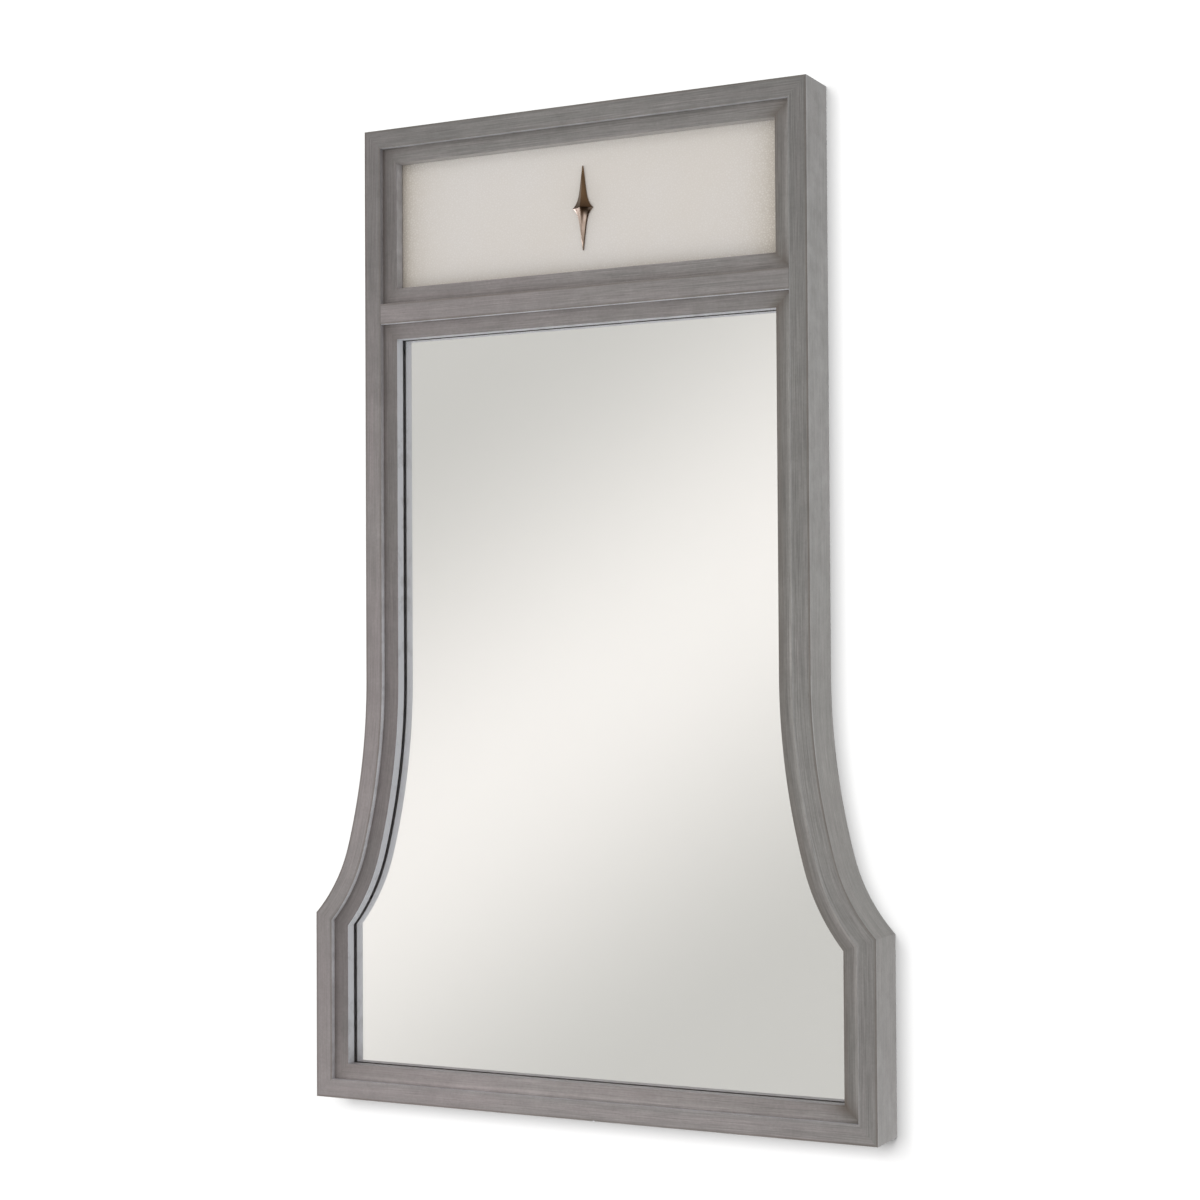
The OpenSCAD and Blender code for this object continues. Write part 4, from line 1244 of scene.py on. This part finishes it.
class WALLMIRROR_OT_nut(bpy.types.Operator):
    """Builds the washer and the chamfered nut behind the leather panel"""

    bl_idname = "wallmirror.nut"
    bl_label = "Washer and nut"

    def execute(self, context):
        plated = plated_finish()
        turn = np.linspace(0, 2 * math.pi, NUT_ROUND, endpoint=False)

        def ring(name, node, radii, shares):
            """A closed ring: at each angle a section of radii, in mm, and shares of its thickness."""
            y = low(node, 1) + (high(node, 1) - low(node, 1)) * np.array(shares)
            r = np.stack([np.broadcast_to(radius * MM, turn.shape) for radius in radii], axis=1)
            rings = np.stack([r * np.cos(turn)[:, None], np.broadcast_to(y, r.shape),
                              PANEL_MID + r * np.sin(turn)[:, None]], axis=-1)
            piece(name, skin(name, rings, closed=True), plated, node)

        ring("steel_washer", "boss_washer", [3.3, 3.3, 3.5, 8.7, 9, 9, 8.7, 3.5],
             [0.85, 0.15, 0, 0, 0.18, 0.82, 1, 1])
        # The hexagon's radius is half its width across flats over the cosine of the angle from a flat's
        # middle. A chamfer cuts its corners off at a smaller circle
        half_flat = 5.0
        hexagon = half_flat / np.cos((turn % (math.pi / 3)) - math.pi / 6)
        chamfer = np.minimum(hexagon, half_flat * 1.02)
        middle = np.minimum(hexagon, half_flat * 1.148)
        ring("steel_nut", "boss_nut", [3.02, 3.02, 3.5, chamfer, middle, middle, chamfer, 3.5],
             [0.9, 0.1, 0, 0, 0.12, 0.88, 1, 1])
        return {"FINISHED"}


class WALLMIRROR_OT_back_timbers(bpy.types.Operator):
    """Builds the hanging rail and the two glue blocks of bare wood"""

    bl_idname = "wallmirror.back_timbers"
    bl_label = "Rail and glue blocks"

    def execute(self, context):
        finish = bare_wood_finish(colours_of(context), "Planed softwood", mapped=True)
        lo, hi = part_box("hanging_rail")
        y, z = section(lo.y, hi.y, lo.z, hi.z, (0.8 * MM,) * 4)
        x = np.linspace(lo.x, hi.x, 30)[:, None] * np.ones(len(y))
        rings = np.stack([x, np.broadcast_to(y, x.shape), np.broadcast_to(z, x.shape)], axis=-1)
        piece("planed_rail", skin("planed_rail", rings), finish, "hanging_rail")
        lo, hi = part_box("glue_blocks")
        loop = eased_loop([(BASE_X, INNER_LOW), (BASE_X, INNER_LOW + BLOCK_SIZE),
                           (BASE_X - BLOCK_SIZE, INNER_LOW)], BLOCK_EASING)
        # From front to back, with the first and last rows drawn in towards the middle as a chamfer
        depths = (lo.y, lo.y + BLOCK_CHAMFER, hi.y - BLOCK_CHAMFER, hi.y)
        inside = BLOCK_SIZE * 0.3
        middle = np.array([BASE_X - inside, INNER_LOW + inside])
        rows = [(loop - middle) * share + middle for share in (0.985, 1.0, 1.0, 0.985)]
        blocks = [skin("block", np.stack([
            np.stack([sign * row[:, 0], np.full(len(row), depth), row[:, 1]], axis=1)
            for row, depth in zip(rows, depths)])) for sign in (1, -1)]
        piece("corner_blocks", merged("corner_blocks", blocks), finish, "glue_blocks")
        return {"FINISHED"}


class WALLMIRROR_OT_finishes(bpy.types.Operator):
    """Gives the solids that stay as they are their finishes"""

    bl_idname = "wallmirror.finishes"
    bl_label = "Finishes of plain solids"

    def execute(self, context):
        colours = colours_of(context)
        board = fibreboard_finish(colours)
        bare = bare_wood_finish(colours, "Bare wood")
        extruded = extruded_finish()
        plan = {
            "mirror_backing": board, "panel_board": board, "setting_blocks": rubber_finish(),
            "joint_dowels": bare, "frame_cleat": extruded, "wall_cleat": extruded,
        }
        for node, finish in plan.items():
            slots = NODES[node].data.materials
            slots.clear()
            slots.append(finish)
        return {"FINISHED"}


def stage_surface(name, corner, across, up, shade):
    """A flat sheet of the studio: a corner plus none or all of its two sides, facing across x up."""
    corner, across, up = (np.array(each, float) for each in (corner, across, up))
    points = np.stack([corner, corner + across, corner + across + up, corner + up])
    mesh = bpy.data.meshes.new(name)
    mesh.from_pydata(points.tolist(), [], [[0, 1, 2, 3]])
    mesh.update()
    mesh.materials.append(stage_finish(name, shade))
    surface = bpy.data.objects.new(name, mesh)
    bpy.context.scene.collection.objects.link(surface)
    surface.visible_diffuse = surface.visible_glossy = False
    surface.visible_transmission = surface.visible_shadow = False
    return surface


class WALLMIRROR_OT_stage(bpy.types.Operator):
    """Builds the pale wall and floor, the soft light and the camera"""

    bl_idname = "wallmirror.stage"
    bl_label = "Studio"

    def execute(self, context):
        scene = context.scene
        colours = colours_of(context)
        left, wide = -STAGE_WIDE / 2, (STAGE_WIDE, 0, 0)
        wall = stage_surface(
            "studio_wall", (left, 0.6 * MM, FLOOR_Z), wide, (0, 0, STAGE_TALL), colours.wall)
        stage_surface(
            "studio_floor", (left, -STAGE_DEEP / 2, FLOOR_Z), wide, (0, STAGE_DEEP, 0), colours.floor)

        # One lamp lights the wall alone, and casts the object's soft shadow on it
        only_wall = bpy.data.collections.new("Lit by the wall light")
        only_wall.objects.link(wall)
        lamp = bpy.data.lights.new("Wall light", "AREA")
        lamp.shape = "RECTANGLE"
        lamp.size, lamp.size_y, lamp.energy = LAMP_WIDE, LAMP_TALL, LAMP_POWER
        light = bpy.data.objects.new("Wall light", lamp)
        light.location = LAMP_PLACE
        light.rotation_euler = (math.pi / 2, 0, 0)
        light.visible_camera = light.visible_glossy = light.visible_transmission = False
        light.light_linking.receiver_collection = only_wall
        scene.collection.objects.link(light)

        # All else is lit by a tent of soft light, which the camera sees as plain white
        world = bpy.data.worlds.new("Soft tent")
        world.use_nodes = True
        tree = world.node_tree
        way = coordinates(tree)

        def leaning(direction):
            """How far the view direction leans along another, from -1 to 1."""
            return add(tree, "ShaderNodeVectorMath", {0: way, 1: direction},
                       operation="DOT_PRODUCT").outputs["Value"]

        # The tent is a soft grey with a pale slanting band, which the glass shows
        off = maths(tree, "ABSOLUTE", plus(tree, leaning((-0.511, 0.260, 0.819)), 0.0045))
        band = remap(tree, off, 0.0, 0.1435, 1.0, 0.0, True)
        tone = mix(tree, band, (0.66, 0.652, 0.615, 1), (1.02, 0.993, 0.945, 1))
        # Lamps of the tent: the direction of each, where it starts and where it is full, and its strength
        lamps = [
            ((0, 0, -1), 0.2, 0.95, 0.28), ((1, 0, 0), 0.5, 0.98, 0.6), ((0, -0.5, 0.87), 0.62, 0.97, 0.75),
            ((0, -0.5, -0.87), 0.62, 0.97, 0.3), ((-0.97, -0.2, -0.13), 0.925, 0.985, 2.4),
        ]
        glows = [remap(tree, leaning(direction), starts, full, 0.0, strength, True)
                 for direction, starts, full, strength in lamps]
        glow = glows[0]
        for each in glows[1:]:
            glow = plus(tree, glow, each)
        blue = times(tree, glow, 1.07)
        bluish = add(tree, "ShaderNodeCombineColor", {0: glow, 1: glow, 2: blue}).outputs[0]
        # Dimmed places of the tent: the direction of each, where it starts and where it is dimmest, and the
        # share of light left there
        dims = [((0.46, -0.56, 0.69), 0.82, 0.97, 0.62), ((0.54, -0.73, -0.42), 0.93, 0.98, 0.2)]
        shade = times(tree, *(remap(tree, leaning(direction), starts, full, 1.0, left_over, True)
                              for direction, starts, full, left_over in dims))
        tent = scaled(tree, mix(tree, 1.0, tone, bluish, "ADD"), shade)
        seen = add(tree, "ShaderNodeLightPath").outputs["Is Camera Ray"]
        background = tree.nodes["Background"]
        tree.links.new(mix(tree, seen, tent, (1, 1, 1, 1)), background.inputs["Color"])
        background.inputs["Strength"].default_value = 1.0
        scene.world = world

        camera = bpy.data.cameras.new("Camera")
        eye = bpy.data.objects.new("Camera", camera)
        side = Vector((math.cos(YAW), math.sin(YAW), 0))
        ahead = Vector((-math.sin(YAW) * math.cos(PITCH), math.cos(YAW) * math.cos(PITCH), math.sin(PITCH)))
        upward = side.cross(ahead)
        turned = side * math.cos(ROLL) + upward * math.sin(ROLL)
        raised = upward * math.cos(ROLL) - side * math.sin(ROLL)
        facing = Matrix((turned, raised, -ahead)).transposed().to_4x4()
        eye.matrix_world = Matrix.Translation(EYE) @ facing
        camera.sensor_width = SENSOR
        camera.lens = SENSOR * FOCAL / PICTURE
        camera.shift_y = SHIFT / PICTURE
        camera.clip_start, camera.clip_end = 0.05, 60
        scene.collection.objects.link(eye)
        scene.camera = eye
        scene.view_settings.view_transform = "Standard"
        return {"FINISHED"}


PIECES = (
    WALLMIRROR_OT_boards, WALLMIRROR_OT_liners, WALLMIRROR_OT_mirror, WALLMIRROR_OT_leather,
    WALLMIRROR_OT_star, WALLMIRROR_OT_nut, WALLMIRROR_OT_clips, WALLMIRROR_OT_back_timbers,
    WALLMIRROR_OT_finishes, WALLMIRROR_OT_stage,
)


class WALLMIRROR_PT_panel(bpy.types.Panel):
    """Lists the part's operators, sizes and colours"""

    bl_label = "Wall mirror"
    bl_space_type = "VIEW_3D"
    bl_region_type = "UI"
    bl_category = "Wall mirror"

    def draw(self, context):
        for operator in PIECES:
            self.layout.operator(operator.bl_idname)
        for group_of in (sizes_of(context), colours_of(context)):
            for name in group_of.__annotations__:
                self.layout.prop(group_of, name)


CLASSES = (WallMirrorSizes, WallMirrorColours, *PIECES, WALLMIRROR_PT_panel)


def register():
    """Adds the classes and the properties that they use."""
    for each in CLASSES:
        bpy.utils.register_class(each)
    bpy.types.Scene.wall_mirror_sizes = bpy.props.PointerProperty(type=WallMirrorSizes)
    bpy.types.Scene.wall_mirror_colours = bpy.props.PointerProperty(type=WallMirrorColours)


def unregister():
    """Takes them away again."""
    del bpy.types.Scene.wall_mirror_colours
    del bpy.types.Scene.wall_mirror_sizes
    for each in reversed(CLASSES):
        bpy.utils.unregister_class(each)


def main():
    """Registers the classes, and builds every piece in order."""
    register()
    for operator in PIECES:
        family, name = operator.bl_idname.split(".")
        getattr(getattr(bpy.ops, family), name)()


if __name__ == "__main__":
    main()
